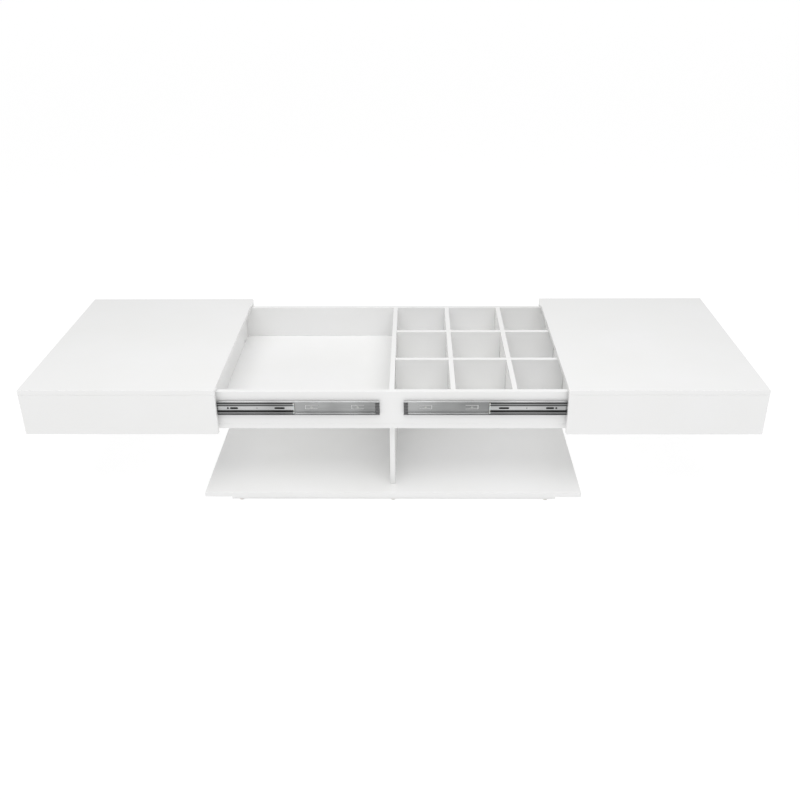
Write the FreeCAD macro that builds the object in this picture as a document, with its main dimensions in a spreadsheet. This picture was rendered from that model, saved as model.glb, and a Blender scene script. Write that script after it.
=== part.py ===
"""Split sliding-top coffee table, drawn with both halves of its top pulled open.

Millimetres. The origin is on the floor under the middle of the table, X runs along the table in
the direction that the halves slide, Y runs to the back and Z runs up.
"""
import FreeCAD, Part
import os
import re

import Sketcher

os.makedirs("parts", exist_ok=True)
doc = FreeCAD.newDocument("split_top_coffee_table")

# ---------------------------------------------------------------------------------------------
# Driving sizes
# ---------------------------------------------------------------------------------------------
SIZES = (
    # the whole table
    ("top_length", 1150, "closed top, end to end"),
    ("top_depth", 734, "closed top, front to back"),
    ("table_height", 415, "floor to the top surface"),
    ("board", 15, "thickness of every board"),
    ("edge_round", 1, "softened edge of a lacquered board"),
    # the two sliding halves
    ("opening", 512, "how far each half is pulled out"),
    ("leaf_gap", 2, "gap between the halves when they are pushed home"),
    ("leaf_height", 145, "top half with its apron"),
    ("leaf_lift", 2, "clearance between a top panel and the rim of the case"),
    ("end_gap", 10, "clearance between the end of the case and the end apron, pushed home"),
    ("slide_gap", 13, "space for a slide between the case and an apron"),
    # storage case
    ("case_height", 123, "bottom panel and walls"),
    ("lap_gap", 0.3, "clearance on each face of an egg-crate joint"),
    # base
    ("base_height", 65, "floor to the top of the lower shelf"),
    ("glide_height", 3, "plastic glide under the plinth"),
    ("glide_radius", 9, "glide, at the plinth"),
    ("glide_taper", 1, "how much narrower a glide is at the floor"),
    ("plinth_end_inset", 68, "shelf end to plinth"),
    ("plinth_side_inset", 60, "shelf edge to plinth, front and back"),
    ("upright_inset", 52, "shelf edge to upright at the front, and to the rear panel at the back"),
    # ball-bearing slide, three sections
    ("slide_drop", 68.5, "top surface down to the centre line of a slide"),
    ("rail_sheet", 1.2, "sheet thickness of all three rails"),
    ("bend_round", 0.8, "outside of a bend in the rolled sheet"),
    ("fixed_start", 35, "inner end of the fixed rail from the middle of the table"),
    ("fixed_length", 508, "fixed rail"),
    ("fixed_height", 45, "fixed rail, outside"),
    ("fixed_lip", 3.5, "lip of the fixed rail, with the sheet"),
    ("apron_clearance", 2.4, "lip of the fixed rail to the apron"),
    ("middle_length", 485, "middle rail"),
    ("middle_overlap", 256, "middle rail still inside the fixed rail, open"),
    ("middle_lip", 1.8, "lip of the middle rail, with the sheet"),
    ("lip_step", 0.2, "lip of the middle rail behind the lip of the fixed rail"),
    ("inner_start", 50, "inner end of the inner rail from the meeting edge of its half"),
    ("inner_length", 490, "inner rail"),
    ("inner_screw_inset", 30, "end of an inner rail to its first and last screws"),
    ("ball_radius", 1.98, "bearing ball"),
    ("race_gap", 0.17, "clearance between a ball and each of its races"),
    ("ball_gap", 0.12, "clearance round a ball in its cage"),
    ("ball_pitch", 20, "ball to ball along a cage"),
    ("cage_sheet", 0.5, "sheet thickness of a ball cage"),
    ("cage_gap", 0.4, "clearance between a cage and the rail over or under it"),
    ("cage_edge", 0.2, "strip left beside the balls of a cage"),
    ("head_space", 1.3, "room for screw heads between the fixed rail and the outer cage"),
    ("outer_cage_length", 200, "outer ball cage"),
    ("inner_cage_length", 180, "inner ball cage"),
    ("stop_start", 1, "rail end to the rubber end stop"),
    ("stop_length", 12, "rubber end stop"),
    ("stop_depth", 8, "rubber end stop, web to face"),
    ("stop_gap", 0.2, "clearance round the end stop"),
    # pressings in the webs, measured from the inner end of the rail
    ("tongue_length", 38, "tongue lanced out of the fixed rail for its screw"),
    ("tongue_height", 14, "tongue with the slit round it"),
    ("tongue_slit", 2.5, "slit round the tongue"),
    ("first_tongue", 46, "rail end to the first tongue"),
    ("second_tongue", 182, "rail end to the second tongue"),
    ("far_screw", 450, "rail end to the last screw of a fixed rail"),
    ("slot_height", 6, "slots in the web of the middle rail"),
    ("first_slot", 27, "rail end to the first slot"),
    ("first_slot_length", 31, "first slot"),
    ("rivet_place", 109, "rail end to the small hole"),
    ("rivet_radius", 1.5, "small hole"),
    ("second_slot", 165, "rail end to the second slot"),
    ("second_slot_length", 24, "second slot"),
    ("web_hole_place", 195, "rail end to the round hole"),
    ("web_hole_radius", 3, "round hole"),
    # fasteners
    ("hole_gap", 0.1, "clearance round a fastener"),
    ("rail_screw_radius", 1.8, "shank of a rail screw"),
    ("rail_screw_length", 12, "rail screw under its head"),
    ("rail_head_radius", 3.6, "head of a rail screw"),
    ("rail_head_height", 0.9, "head of a rail screw"),
    ("case_screw_radius", 2.5, "shank of a joint screw"),
    ("case_screw_length", 48, "joint screw, overall"),
    ("case_head_radius", 5, "countersunk head of a joint screw"),
    ("case_head_height", 4, "countersunk head of a joint screw"),
    ("socket_radius", 2, "driving socket in a joint screw"),
    ("socket_depth", 3, "driving socket in a joint screw"),
    ("case_screw_step", 300, "joint screw to joint screw along the case"),
    ("end_screw_place", 200, "joint screws of an end wall, from the centre line"),
    ("dowel_radius", 4, "wooden dowel"),
    ("dowel_below", 10, "dowel in the board it is glued to"),
    ("dowel_above", 14, "dowel in the edge of the other board"),
    ("dowel_inset", 60, "dowel to the end of its board"),
    ("cam_radius", 6, "cam lock"),
    ("cam_depth", 10, "cam lock in its board"),
    ("cam_height", 9, "case floor to the centre of a cam lock"),
    ("cam_place", 255, "cam locks of an end wall, from the centre line"),
)
ALIASES = {alias for alias, size, meaning in SIZES}

sheet = doc.addObject("Spreadsheet::Sheet", "sizes")
for row, (alias, size, meaning) in enumerate(SIZES, start=1):
    sheet.set(f"A{row}", meaning)
    sheet.set(f"B{row}", str(size))
    sheet.setAlias(f"B{row}", alias)
doc.recompute()

# Places worked out from the sizes, as formulas
HALF_LENGTH = "(top_length / 2)"
HALF_DEPTH = "(top_depth / 2)"
LEAF_LENGTH = "((top_length - leaf_gap) / 2)"
LEAF_START = "(opening + leaf_gap / 2)"
APRON_TOP = "(table_height - board)"
APRON_BOTTOM = "(table_height - leaf_height)"
APRON_FACE = f"({HALF_DEPTH} - board)"
RIM = "(table_height - board - leaf_lift)"
CASE_BOTTOM = f"({RIM} - case_height)"
CASE_FLOOR = f"({CASE_BOTTOM} + board)"
CASE_HALF_LENGTH = f"({HALF_LENGTH} - board - end_gap)"
CASE_HALF_DEPTH = f"({APRON_FACE} - slide_gap)"
CASE_INSIDE_X = f"({CASE_HALF_LENGTH} - board)"
CASE_INSIDE_Y = f"({CASE_HALF_DEPTH} - board)"
SHELF_BOTTOM = "(base_height - board)"
PLINTH_X = f"({HALF_LENGTH} - plinth_end_inset)"
PLINTH_Y = f"({HALF_DEPTH} - plinth_side_inset)"
UPRIGHT_FRONT = f"({HALF_DEPTH} - upright_inset)"
REAR_PANEL_FACE = f"({UPRIGHT_FRONT} - board)"
CELL_LENGTH = f"(({CASE_INSIDE_X} - board / 2 - 2 * board) / 3)"
CELL_DEPTH = f"((2 * {CASE_INSIDE_Y} - 2 * board) / 3)"
SLIDE_LINE = "(table_height - slide_drop)"
# The slide outwards from the wall of the case, then up from its centre line, then along it
BALL_STEP = "(rail_sheet + 2 * ball_radius + 2 * race_gap)"
FIXED_REACH = "(slide_gap - apron_clearance)"
OUTER_CAGE_WEB = "(rail_sheet + head_space)"
MIDDLE_WEB = f"({OUTER_CAGE_WEB} + cage_sheet + cage_gap)"
MIDDLE_REACH = f"({FIXED_REACH} - lip_step)"
INNER_CAGE_WEB = f"({MIDDLE_WEB} + rail_sheet + cage_gap)"
INNER_EDGE = f"({INNER_CAGE_WEB} + cage_sheet + cage_gap)"
INNER_WEB = "(slide_gap - rail_sheet)"
MIDDLE_HEIGHT = f"(fixed_height - 2 * {BALL_STEP})"
INNER_HEIGHT = f"({MIDDLE_HEIGHT} - 2 * {BALL_STEP})"
FIXED_END = "(fixed_start + fixed_length)"
MIDDLE_START = f"({FIXED_END} - middle_overlap)"
MIDDLE_END = f"({MIDDLE_START} + middle_length)"
INNER_START = f"({LEAF_START} + inner_start)"
OUTER_CAGE_START = f"(({MIDDLE_START} + {FIXED_END} - outer_cage_length) / 2)"
INNER_CAGE_START = f"(({INNER_START} + {MIDDLE_END} - inner_cage_length) / 2)"

# Where fasteners sit, as shares of the length that each loop names
REAR_SCREW_SHARES = ("-3 / 5", "-1 / 5", "1 / 5", "3 / 5")
BASE_DOWEL_SHARES = ("-7 / 8", "-1 / 4", "1 / 4", "7 / 8")
WALL_SCREW_SHARES = ("-3 / 2", "-1 / 2", "1 / 2", "3 / 2")
END_DOWEL_SHARES = ("-3 / 4", "0", "3 / 4")
CORNER_DOWEL_SHARES = ("1 / 4", "1 / 2")


# ---------------------------------------------------------------------------------------------
# Helpers
# ---------------------------------------------------------------------------------------------
def bound(formula):
    """Write a formula of plain size names so that it reads the sheet."""
    def name(word):
        return "sizes." + word.group() if word.group() in ALIASES else word.group()
    return re.sub(r"[A-Za-z_]\w*", name, str(formula))


def number(formula):
    """The formula's present value."""
    return float(sheet.evalExpression(bound(formula)))


def place(piece, x, y, z):
    """Bind a piece's position to three formulas."""
    for axis, formula in zip("xyz", (x, y, z)):
        piece.setExpression("Placement.Base." + axis, bound(formula))
    return piece


def mirrored(sign, near, size):
    """Lowest coordinate of a stretch that starts at near and runs outwards on one side."""
    return near if sign > 0 else f"-({near} + {size})"


def origin_plane(body, role):
    return next(feature for feature in body.Origin.OriginFeatures if feature.Role == role)


def outline(body, name, role, corners, lift=(0, 0, 0)):
    """A closed sketch through corners, each coordinate a formula, lifted off an origin plane."""
    sketch = body.newObject("Sketcher::SketchObject", name)
    sketch.AttachmentSupport = (origin_plane(body, role), [""])
    sketch.MapMode = "FlatFace"
    for axis, formula in zip("xyz", lift):
        sketch.setExpression("AttachmentOffset.Base." + axis, bound(formula))
    points = [FreeCAD.Vector(number(across), number(up), 0) for across, up in corners]
    for index, point in enumerate(points):
        sketch.addGeometry(Part.LineSegment(point, points[(index + 1) % len(points)]))
    for index in range(len(points)):
        following = (index + 1) % len(points)
        sketch.addConstraint(Sketcher.Constraint("Coincident", index, 2, following, 1))
    for index, corner in enumerate(corners):
        for kind, formula, axis in zip(("DistanceX", "DistanceY"), corner, (-2, -1)):
            if formula == 0:
                sketch.addConstraint(Sketcher.Constraint("PointOnObject", index, 1, axis))
                continue
            size = number(formula)
            added = sketch.addConstraint(Sketcher.Constraint(kind, -1, 1, index, 1, size))
            sketch.setExpression(f"Constraints[{added}]", bound(formula))
    return sketch


def pad(body, name, sketch, length):
    """Thicken a sketch along its normal."""
    feature = body.newObject("PartDesign::Pad", name)
    feature.Profile = sketch
    feature.setExpression("Length", bound(length))
    doc.recompute()
    return feature


def cut_through(body, name, sketch):
    """Cut a sketch through the body on both sides of its plane, and check that it cut."""
    before = body.Shape.Volume
    pocket = body.newObject("PartDesign::Pocket", name)
    pocket.Profile = sketch
    pocket.Type = "ThroughAll"
    pocket.Midplane = True
    doc.recompute()
    if pocket.Shape.Volume >= before:
        raise RuntimeError(f"{name} cuts nothing")
    return pocket


def soften(body, feature, edges, radius):
    """Round the edges of a feature that have these numbers."""
    fillet = body.newObject("PartDesign::Fillet", "softened_edges")
    fillet.Base = (feature, [f"Edge{number_of_edge}" for number_of_edge in edges])
    fillet.setExpression("Radius", bound(radius))
    doc.recompute()
    return fillet


def board(label, low, size):
    """A rectangular board with softened edges, from its lowest corner."""
    piece = doc.addObject("PartDesign::Body", label)
    piece.Label = label
    length, depth, height = size
    corners = ((0, 0), (length, 0), (length, depth), (0, depth))
    blank = pad(piece, "blank", outline(piece, "face", "XY_Plane", corners), height)
    soften(piece, blank, range(1, len(blank.Shape.Edges) + 1), "edge_round")
    return place(piece, *low)


TURNS = {
    "+X": FreeCAD.Rotation(FreeCAD.Vector(0, 1, 0), 90),
    "-X": FreeCAD.Rotation(FreeCAD.Vector(0, 1, 0), -90),
    "+Y": FreeCAD.Rotation(FreeCAD.Vector(1, 0, 0), -90),
    "-Y": FreeCAD.Rotation(FreeCAD.Vector(1, 0, 0), 90),
    "+Z": FreeCAD.Rotation(),
    "-Z": FreeCAD.Rotation(FreeCAD.Vector(1, 0, 0), 180),
}
OPPOSITE = {"+X": "-X", "-X": "+X", "+Y": "-Y", "-Y": "+Y", "+Z": "-Z", "-Z": "+Z"}


def rod(axis, start, radius, length):
    """A round bar that runs from start along an axis."""
    bar = doc.addObject("Part::Cylinder", "rod")
    bar.setExpression("Radius", bound(radius))
    bar.setExpression("Height", bound(length))
    bar.Placement.Rotation = TURNS[axis]
    return place(bar, *start)


def countersink(axis, start, head, shank, depth):
    """A cone that narrows from a head's radius to a shank's."""
    cone = doc.addObject("Part::Cone", "countersink")
    cone.setExpression("Radius1", bound(head))
    cone.setExpression("Radius2", bound(shank))
    cone.setExpression("Height", bound(depth))
    cone.Placement.Rotation = TURNS[axis]
    return place(cone, *start)


def fused(name, shapes):
    joined = doc.addObject("Part::MultiFuse", name)
    joined.Shapes = shapes
    return joined


def group(label, pieces):
    """Identical loose pieces in one node, each a solid of its own."""
    compound = doc.addObject("Part::Compound", label)
    compound.Label = label
    compound.Links = pieces
    return compound


def drilled(piece, holes):
    """Take a list of holes out of a board, which passes its label on."""
    label = piece.Label
    piece.Label = label + "_blank"
    cut = doc.addObject("Part::Cut", label)
    cut.Base = piece
    cut.Tool = fused(label + "_holes", holes) if len(holes) > 1 else holes[0]
    cut.Label = label
    return cut


def pan_screw(axis, seat):
    """A rail screw: flat round head on the sheet, shank into the board."""
    head = rod(OPPOSITE[axis], seat, "rail_head_radius", "rail_head_height")
    shank = rod(axis, seat, "rail_screw_radius", "rail_screw_length")
    return fused("rail_screw", [head, shank])


def pan_hole(axis, seat):
    radius = "rail_screw_radius + hole_gap"
    return rod(axis, seat, radius, "rail_screw_length + hole_gap")


def joint_screw(axis, face):
    """A countersunk joint screw with a driving socket, its head flush with a face."""
    head = countersink(axis, face, "case_head_radius", "case_screw_radius", "case_head_height")
    shank = rod(axis, face, "case_screw_radius", "case_screw_length")
    screw = doc.addObject("Part::Cut", "joint_screw")
    screw.Base = fused("joint_screw_blank", [head, shank])
    screw.Tool = rod(axis, face, "socket_radius", "socket_depth")
    return screw


def joint_hole(axis, face):
    head = countersink(axis, face, "case_head_radius + hole_gap",
                       "case_screw_radius + hole_gap", "case_head_height")
    shank = rod(axis, face, "case_screw_radius + hole_gap", "case_screw_length + hole_gap")
    return fused("joint_hole", [head, shank])


def offset(axis, point, distance):
    """Move a point of three formulas along an axis."""
    sign, letter = axis
    moved = list(point)
    moved["XYZ".index(letter)] = f"({moved['XYZ'.index(letter)]}) {sign} ({distance})"
    return tuple(moved)


def dowel(axis, joint):
    """A dowel across a joint: dowel_below behind the joint plane, dowel_above past it."""
    return rod(axis, offset(OPPOSITE[axis], joint, "dowel_below"),
               "dowel_radius", "dowel_below + dowel_above")


def dowel_hole(axis, joint):
    return rod(axis, offset(OPPOSITE[axis], joint, "dowel_below + hole_gap"),
               "dowel_radius + hole_gap", "dowel_below + dowel_above + 2 * hole_gap")


nodes = []

# ---------------------------------------------------------------------------------------------
# Base: glides, plinth, lower shelf, upright and rear panel
# ---------------------------------------------------------------------------------------------
shelf_screw_points = []
for along in (f"-{UPRIGHT_FRONT} + dowel_inset", "0", f"{REAR_PANEL_FACE} - dowel_inset"):
    shelf_screw_points.append(("0", along, SHELF_BOTTOM))
for share in REAR_SCREW_SHARES:
    beside = f"{share} * {PLINTH_X}"
    shelf_screw_points.append((beside, f"{REAR_PANEL_FACE} + board / 2", SHELF_BOTTOM))
nodes.append(group("base_screws", [joint_screw("+Z", point) for point in shelf_screw_points]))

plinth_dowel_points = []
for side in (-1, 1):
    for share in BASE_DOWEL_SHARES:
        middle = f"{side} * ({PLINTH_Y} - board / 2)"
        plinth_dowel_points.append((f"{share} * {PLINTH_X}", middle, SHELF_BOTTOM))
upright_dowel_points = []
for share in BASE_DOWEL_SHARES:
    point = (f"{share} * {PLINTH_X}", f"{REAR_PANEL_FACE} + board / 2", CASE_BOTTOM)
    upright_dowel_points.append(point)

plinth_depth = f"2 * {PLINTH_Y}"
plinth_height = f"{SHELF_BOTTOM} - glide_height"
for name, sign in (("plinth_front_rail", -1), ("plinth_rear_rail", 1)):
    near = f"({PLINTH_Y} - board)"
    low = (f"-{PLINTH_X}", mirrored(sign, near, "board"), "glide_height")
    rail = board(name, low, (f"2 * {PLINTH_X}", "board", plinth_height))
    mine = plinth_dowel_points[:4] if sign < 0 else plinth_dowel_points[4:]
    nodes.append(drilled(rail, [dowel_hole("-Z", point) for point in mine]))
for name, centre in (("plinth_left_rail", f"-({PLINTH_X} - board / 2)"),
                     ("plinth_centre_rail", "0"),
                     ("plinth_right_rail", f"{PLINTH_X} - board / 2")):
    low = (f"{centre} - board / 2", f"-({PLINTH_Y} - board)", "glide_height")
    nodes.append(board(name, low, ("board", f"{plinth_depth} - 2 * board", plinth_height)))

glides = []
for across in ("-1", "0", "1"):
    for side in (-1, 1):
        middle = f"{side} * ({PLINTH_Y} - board / 2)"
        start = (f"{across} * ({PLINTH_X} - 2 * board)", middle, "glide_height")
        glides.append(countersink("-Z", start, "glide_radius", "glide_radius - glide_taper",
                                  "glide_height"))
nodes.append(group("floor_glides", glides))

shelf = board("lower_shelf", (f"-{HALF_LENGTH}", f"-{HALF_DEPTH}", SHELF_BOTTOM),
              ("top_length", "top_depth", "board"))
shelf_holes = [joint_hole("+Z", point) for point in shelf_screw_points]
shelf_holes += [dowel_hole("-Z", point) for point in plinth_dowel_points]
nodes.append(drilled(shelf, shelf_holes))

stand_height = f"{CASE_BOTTOM} - base_height"
upright_screw_points = []
for point in shelf_screw_points[:3]:
    upright_screw_points.append(("0", point[1], CASE_FLOOR))
upright = board("centre_upright", ("-board / 2", f"-{UPRIGHT_FRONT}", "base_height"),
                ("board", f"{UPRIGHT_FRONT} + {REAR_PANEL_FACE}", stand_height))
upright_holes = [joint_hole("+Z", point) for point in shelf_screw_points[:3]]
upright_holes += [joint_hole("-Z", point) for point in upright_screw_points]
nodes.append(drilled(upright, upright_holes))

rear_panel = board("rear_panel", (f"-{PLINTH_X}", REAR_PANEL_FACE, "base_height"),
                   (f"2 * {PLINTH_X}", "board", stand_height))
rear_holes = [joint_hole("+Z", point) for point in shelf_screw_points[3:]]
rear_holes += [dowel_hole("-Z", point) for point in upright_dowel_points]
nodes.append(drilled(rear_panel, rear_holes))
nodes.append(group("upright_screws", [joint_screw("-Z", point) for point in upright_screw_points]))

# ---------------------------------------------------------------------------------------------
# Storage case: bottom, four walls and the dividers
# ---------------------------------------------------------------------------------------------
wall_points = []
for share in WALL_SCREW_SHARES:
    for side in (-1, 1):
        middle = f"{side} * ({CASE_HALF_DEPTH} - board / 2)"
        wall_points.append((f"{share} * case_screw_step", middle, CASE_BOTTOM))
end_points = []
for side in (-1, 1):
    for back in (-1, 1):
        middle = f"{side} * ({CASE_HALF_LENGTH} - board / 2)"
        end_points.append((middle, f"{back} * end_screw_place", CASE_BOTTOM))
case_screw_points = wall_points + end_points
nodes.append(group("case_screws", [joint_screw("+Z", point) for point in case_screw_points]))

divider_dowel_points = [("0", f"{back} * ({CASE_INSIDE_Y} - 2 * dowel_inset)", CASE_FLOOR)
                        for back in (-1, 1)]
bottom = board("case_bottom", (f"-{CASE_HALF_LENGTH}", f"-{CASE_HALF_DEPTH}", CASE_BOTTOM),
               (f"2 * {CASE_HALF_LENGTH}", f"2 * {CASE_HALF_DEPTH}", "board"))
bottom_holes = [joint_hole("+Z", point) for point in case_screw_points]
bottom_holes += [joint_hole("-Z", point) for point in upright_screw_points]
bottom_holes += [dowel_hole("-Z", point) for point in upright_dowel_points]
bottom_holes += [dowel_hole("+Z", point) for point in divider_dowel_points]
nodes.append(drilled(bottom, bottom_holes))

rail_screw_places = (
    "fixed_start + first_tongue + tongue_length / 2",
    "fixed_start + second_tongue + tongue_length / 2",
    "fixed_start + far_screw",
)
wall_height = "case_height - board"
for name, back in (("case_front_wall", -1), ("case_rear_wall", 1)):
    low = (f"-{CASE_HALF_LENGTH}", mirrored(back, CASE_INSIDE_Y, "board"), CASE_FLOOR)
    wall = board(name, low, (f"2 * {CASE_HALF_LENGTH}", "board", wall_height))
    inwards = "-Y" if back > 0 else "+Y"
    seat = f"{back} * ({CASE_HALF_DEPTH} + rail_sheet)"
    holes = [joint_hole("+Z", point) for point in wall_points[(back + 1) // 2::2]]
    for side in (-1, 1):
        for along in rail_screw_places:
            holes.append(pan_hole(inwards, (f"{side} * ({along})", seat, SLIDE_LINE)))
    nodes.append(drilled(wall, holes))

cam_points = {}
for name, side in (("case_left_end", -1), ("case_right_end", 1)):
    low = (mirrored(side, CASE_INSIDE_X, "board"), f"-{CASE_INSIDE_Y}", CASE_FLOOR)
    wall = board(name, low, ("board", f"2 * {CASE_INSIDE_Y}", wall_height))
    outwards = "+X" if side > 0 else "-X"
    holes = [joint_hole("+Z", point) for point in end_points[side + 1:side + 3]]
    cam_points[outwards] = [
        (f"{side} * {CASE_INSIDE_X}", f"{back} * cam_place", f"{CASE_FLOOR} + cam_height")
        for back in (-1, 1)
    ]
    for point in cam_points[outwards]:
        holes.append(rod(outwards, point, "cam_radius + hole_gap", "cam_depth + hole_gap"))
    nodes.append(drilled(wall, holes))

cams = []
for outwards, points in cam_points.items():
    for point in points:
        lock = doc.addObject("Part::Cut", "cam_lock")
        lock.Base = rod(outwards, point, "cam_radius", "cam_depth")
        lock.Tool = rod(outwards, point, "socket_radius", "socket_depth")
        cams.append(lock)
nodes.append(group("cam_locks", cams))

divider_height = f"({wall_height})"
bay_divider = board("bay_divider", ("-board / 2", f"-{CASE_INSIDE_Y}", CASE_FLOOR),
                    ("board", f"2 * {CASE_INSIDE_Y}", divider_height))
nodes.append(drilled(bay_divider, [dowel_hole("+Z", point) for point in divider_dowel_points]))

LONG_PLACES = [f"(board / 2 + {index} * {CELL_LENGTH} + {index - 1} * board)" for index in (1, 2)]
CROSS_PLACES = [f"({index} * {CELL_DEPTH} + {index - 1} * board)" for index in (1, 2)]


def divider(label, low, length, role, notches, from_top):
    """An egg-crate board, with half-height notches where it crosses the others."""
    piece = doc.addObject("PartDesign::Body", label)
    piece.Label = label
    corners = ((0, 0), (length, 0), (length, divider_height), (0, divider_height))
    blank = pad(piece, "blank", outline(piece, "face", role, corners), "board")
    soften(piece, blank, range(1, len(blank.Shape.Edges) + 1), "edge_round")
    middle = f"{divider_height} / 2 {'-' if from_top else '+'} lap_gap"
    past = f"{divider_height} + board" if from_top else "-board"
    for index, start in enumerate(notches):
        left = f"{start} - lap_gap"
        right = f"{start} + board + lap_gap"
        corners = ((left, middle), (right, middle), (right, past), (left, past))
        cut_through(piece, f"notch_{index}", outline(piece, f"notch_face_{index}", role, corners))
    return place(piece, *low)


grid_length = f"{CASE_INSIDE_X} - board / 2 - 2 * lap_gap"
grid_depth = f"2 * {CASE_INSIDE_Y} - 2 * lap_gap"
for name, start in zip(("long_divider_inner", "long_divider_outer"), LONG_PLACES):
    low = (start, f"-{CASE_INSIDE_Y} + lap_gap", CASE_FLOOR)
    notches = [f"({cross} - lap_gap)" for cross in CROSS_PLACES]
    nodes.append(divider(name, low, grid_depth, "YZ_Plane", notches, True))
for name, start in zip(("cross_divider_front", "cross_divider_rear"), CROSS_PLACES):
    low = ("board / 2 + lap_gap", f"-{CASE_INSIDE_Y} + {start} + board", CASE_FLOOR)
    notches = [f"({long} - board / 2 - lap_gap)" for long in LONG_PLACES]
    nodes.append(divider(name, low, grid_length, "XZ_Plane", notches, False))

dowels = [dowel("-Z", point) for point in plinth_dowel_points + upright_dowel_points]
dowels += [dowel("+Z", point) for point in divider_dowel_points]
nodes.append(group("base_dowels", dowels))

# ---------------------------------------------------------------------------------------------
# The two sliding halves of the top
# ---------------------------------------------------------------------------------------------
inner_screw_places = ("inner_start + inner_screw_inset", "inner_start + inner_length / 2",
                      "inner_start + inner_length - inner_screw_inset")
apron_height = f"{APRON_TOP} - {APRON_BOTTOM}"
for leaf, side in (("left", -1), ("right", 1)):
    outwards = "+X" if side > 0 else "-X"

    def along(near, size):
        """Lowest X of a stretch measured outwards from the meeting edge of this half."""
        return mirrored(side, f"({LEAF_START} + {near})", size)

    def point_along(near):
        return f"{side} * ({LEAF_START} + {near})"

    side_dowels = {}
    for back in (-1, 1):
        middle = f"{back} * ({HALF_DEPTH} - board / 2)"
        places = ("dowel_inset", f"{LEAF_LENGTH} / 2", f"{LEAF_LENGTH} - dowel_inset")
        side_dowels[back] = [(point_along(near), middle, APRON_TOP) for near in places]
    end_middle = point_along(f"{LEAF_LENGTH} - board / 2")
    end_dowels = [(end_middle, f"{share} * {APRON_FACE}", APRON_TOP) for share in END_DOWEL_SHARES]
    corner_dowels = {}
    for back in (-1, 1):
        corner_dowels[back] = [
            (end_middle, f"{back} * {APRON_FACE}", f"{APRON_BOTTOM} + {share} * ({apron_height})")
            for share in CORNER_DOWEL_SHARES
        ]
    top_dowels = side_dowels[-1] + side_dowels[1] + end_dowels

    panel = board(f"{leaf}_top_panel", (along("0", LEAF_LENGTH), f"-{HALF_DEPTH}", APRON_TOP),
                  (LEAF_LENGTH, "top_depth", "board"))
    nodes.append(drilled(panel, [dowel_hole("-Z", point) for point in top_dowels]))

    for name, back in (("front", -1), ("rear", 1)):
        low = (along("0", LEAF_LENGTH), mirrored(back, APRON_FACE, "board"), APRON_BOTTOM)
        apron = board(f"{leaf}_{name}_apron", low, (LEAF_LENGTH, "board", apron_height))
        outside = "+Y" if back > 0 else "-Y"
        inside = OPPOSITE[outside]
        holes = [dowel_hole("-Z", point) for point in side_dowels[back]]
        holes += [dowel_hole(inside, point) for point in corner_dowels[back]]
        seat = f"{back} * ({APRON_FACE} - rail_sheet)"
        for near in inner_screw_places:
            holes.append(pan_hole(outside, (point_along(near), seat, SLIDE_LINE)))
        nodes.append(drilled(apron, holes))

    low = (along(f"({LEAF_LENGTH} - board)", "board"), f"-{APRON_FACE}", APRON_BOTTOM)
    end_apron = board(f"{leaf}_end_apron", low, ("board", f"2 * {APRON_FACE}", apron_height))
    holes = [dowel_hole("-Z", point) for point in end_dowels]
    holes += [dowel_hole("+Y", point) for point in corner_dowels[-1]]
    holes += [dowel_hole("-Y", point) for point in corner_dowels[1]]
    nodes.append(drilled(end_apron, holes))

    pegs = [dowel("-Z", point) for point in top_dowels]
    pegs += [dowel("+Y", point) for point in corner_dowels[-1]]
    pegs += [dowel("-Y", point) for point in corner_dowels[1]]
    nodes.append(group(f"{leaf}_top_dowels", pegs))

    screws = []
    for back in (-1, 1):
        outside = "+Y" if back > 0 else "-Y"
        seat = f"{back} * ({APRON_FACE} - rail_sheet)"
        for near in inner_screw_places:
            screws.append(pan_screw(outside, (point_along(near), seat, SLIDE_LINE)))
    nodes.append(group(f"{leaf}_inner_rail_screws", screws))

# ---------------------------------------------------------------------------------------------
# Ball-bearing slides. A slide is drawn at its own origin: X outwards from the middle of the
# table, Y from the wall of the case, Z from the centre line. It is the same slide in all four
# places, because half turns about X, Y and Z carry it to the other three.
# ---------------------------------------------------------------------------------------------
QUARTERS = (
    ("left_front", -1, FreeCAD.Rotation(FreeCAD.Vector(0, 0, 1), 180)),
    ("left_rear", 1, FreeCAD.Rotation(FreeCAD.Vector(0, 1, 0), 180)),
    ("right_front", -1, FreeCAD.Rotation(FreeCAD.Vector(1, 0, 0), 180)),
    ("right_rear", 1, FreeCAD.Rotation()),
)


def rolled(label, profile, height, start, length):
    """A length of rolled section: a profile of (out from the wall, up from its edge)."""
    piece = doc.addObject("PartDesign::Body", label)
    piece.Label = label
    sketch = outline(piece, "section", "YZ_Plane", profile, (0, f"-({height}) / 2", start))
    return piece, pad(piece, "rolled_length", sketch, length)


ON_THE_BOX = 1e-6  # distance from the box at which an edge counts as lying in it


def round_bends(piece, feature):
    """Round the four outside bends of a rolled section, the edges in its box's corners."""
    box = feature.Shape.BoundBox
    bends = []
    for index, edge in enumerate(feature.Shape.Edges, start=1):
        middle = edge.BoundBox.Center
        to_side = min(abs(middle.y - box.YMin), abs(middle.y - box.YMax))
        to_top = min(abs(middle.z - box.ZMin), abs(middle.z - box.ZMax))
        if to_side < ON_THE_BOX and to_top < ON_THE_BOX:
            bends.append(index)
    return soften(piece, feature, bends, "bend_round")


def channel(web_out, web_in, reach, height, lip):
    """Corners of a channel with inward lips; its web lies between web_out and web_in."""
    sheet_edge = f"({height} - rail_sheet)"
    return [
        (web_out, 0), (reach, 0), (reach, lip), (f"{reach} - rail_sheet", lip),
        (f"{reach} - rail_sheet", "rail_sheet"), (web_in, "rail_sheet"),
        (web_in, sheet_edge), (f"{reach} - rail_sheet", sheet_edge),
        (f"{reach} - rail_sheet", f"{height} - {lip}"), (reach, f"{height} - {lip}"),
        (reach, height), (web_out, height),
    ]


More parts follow.
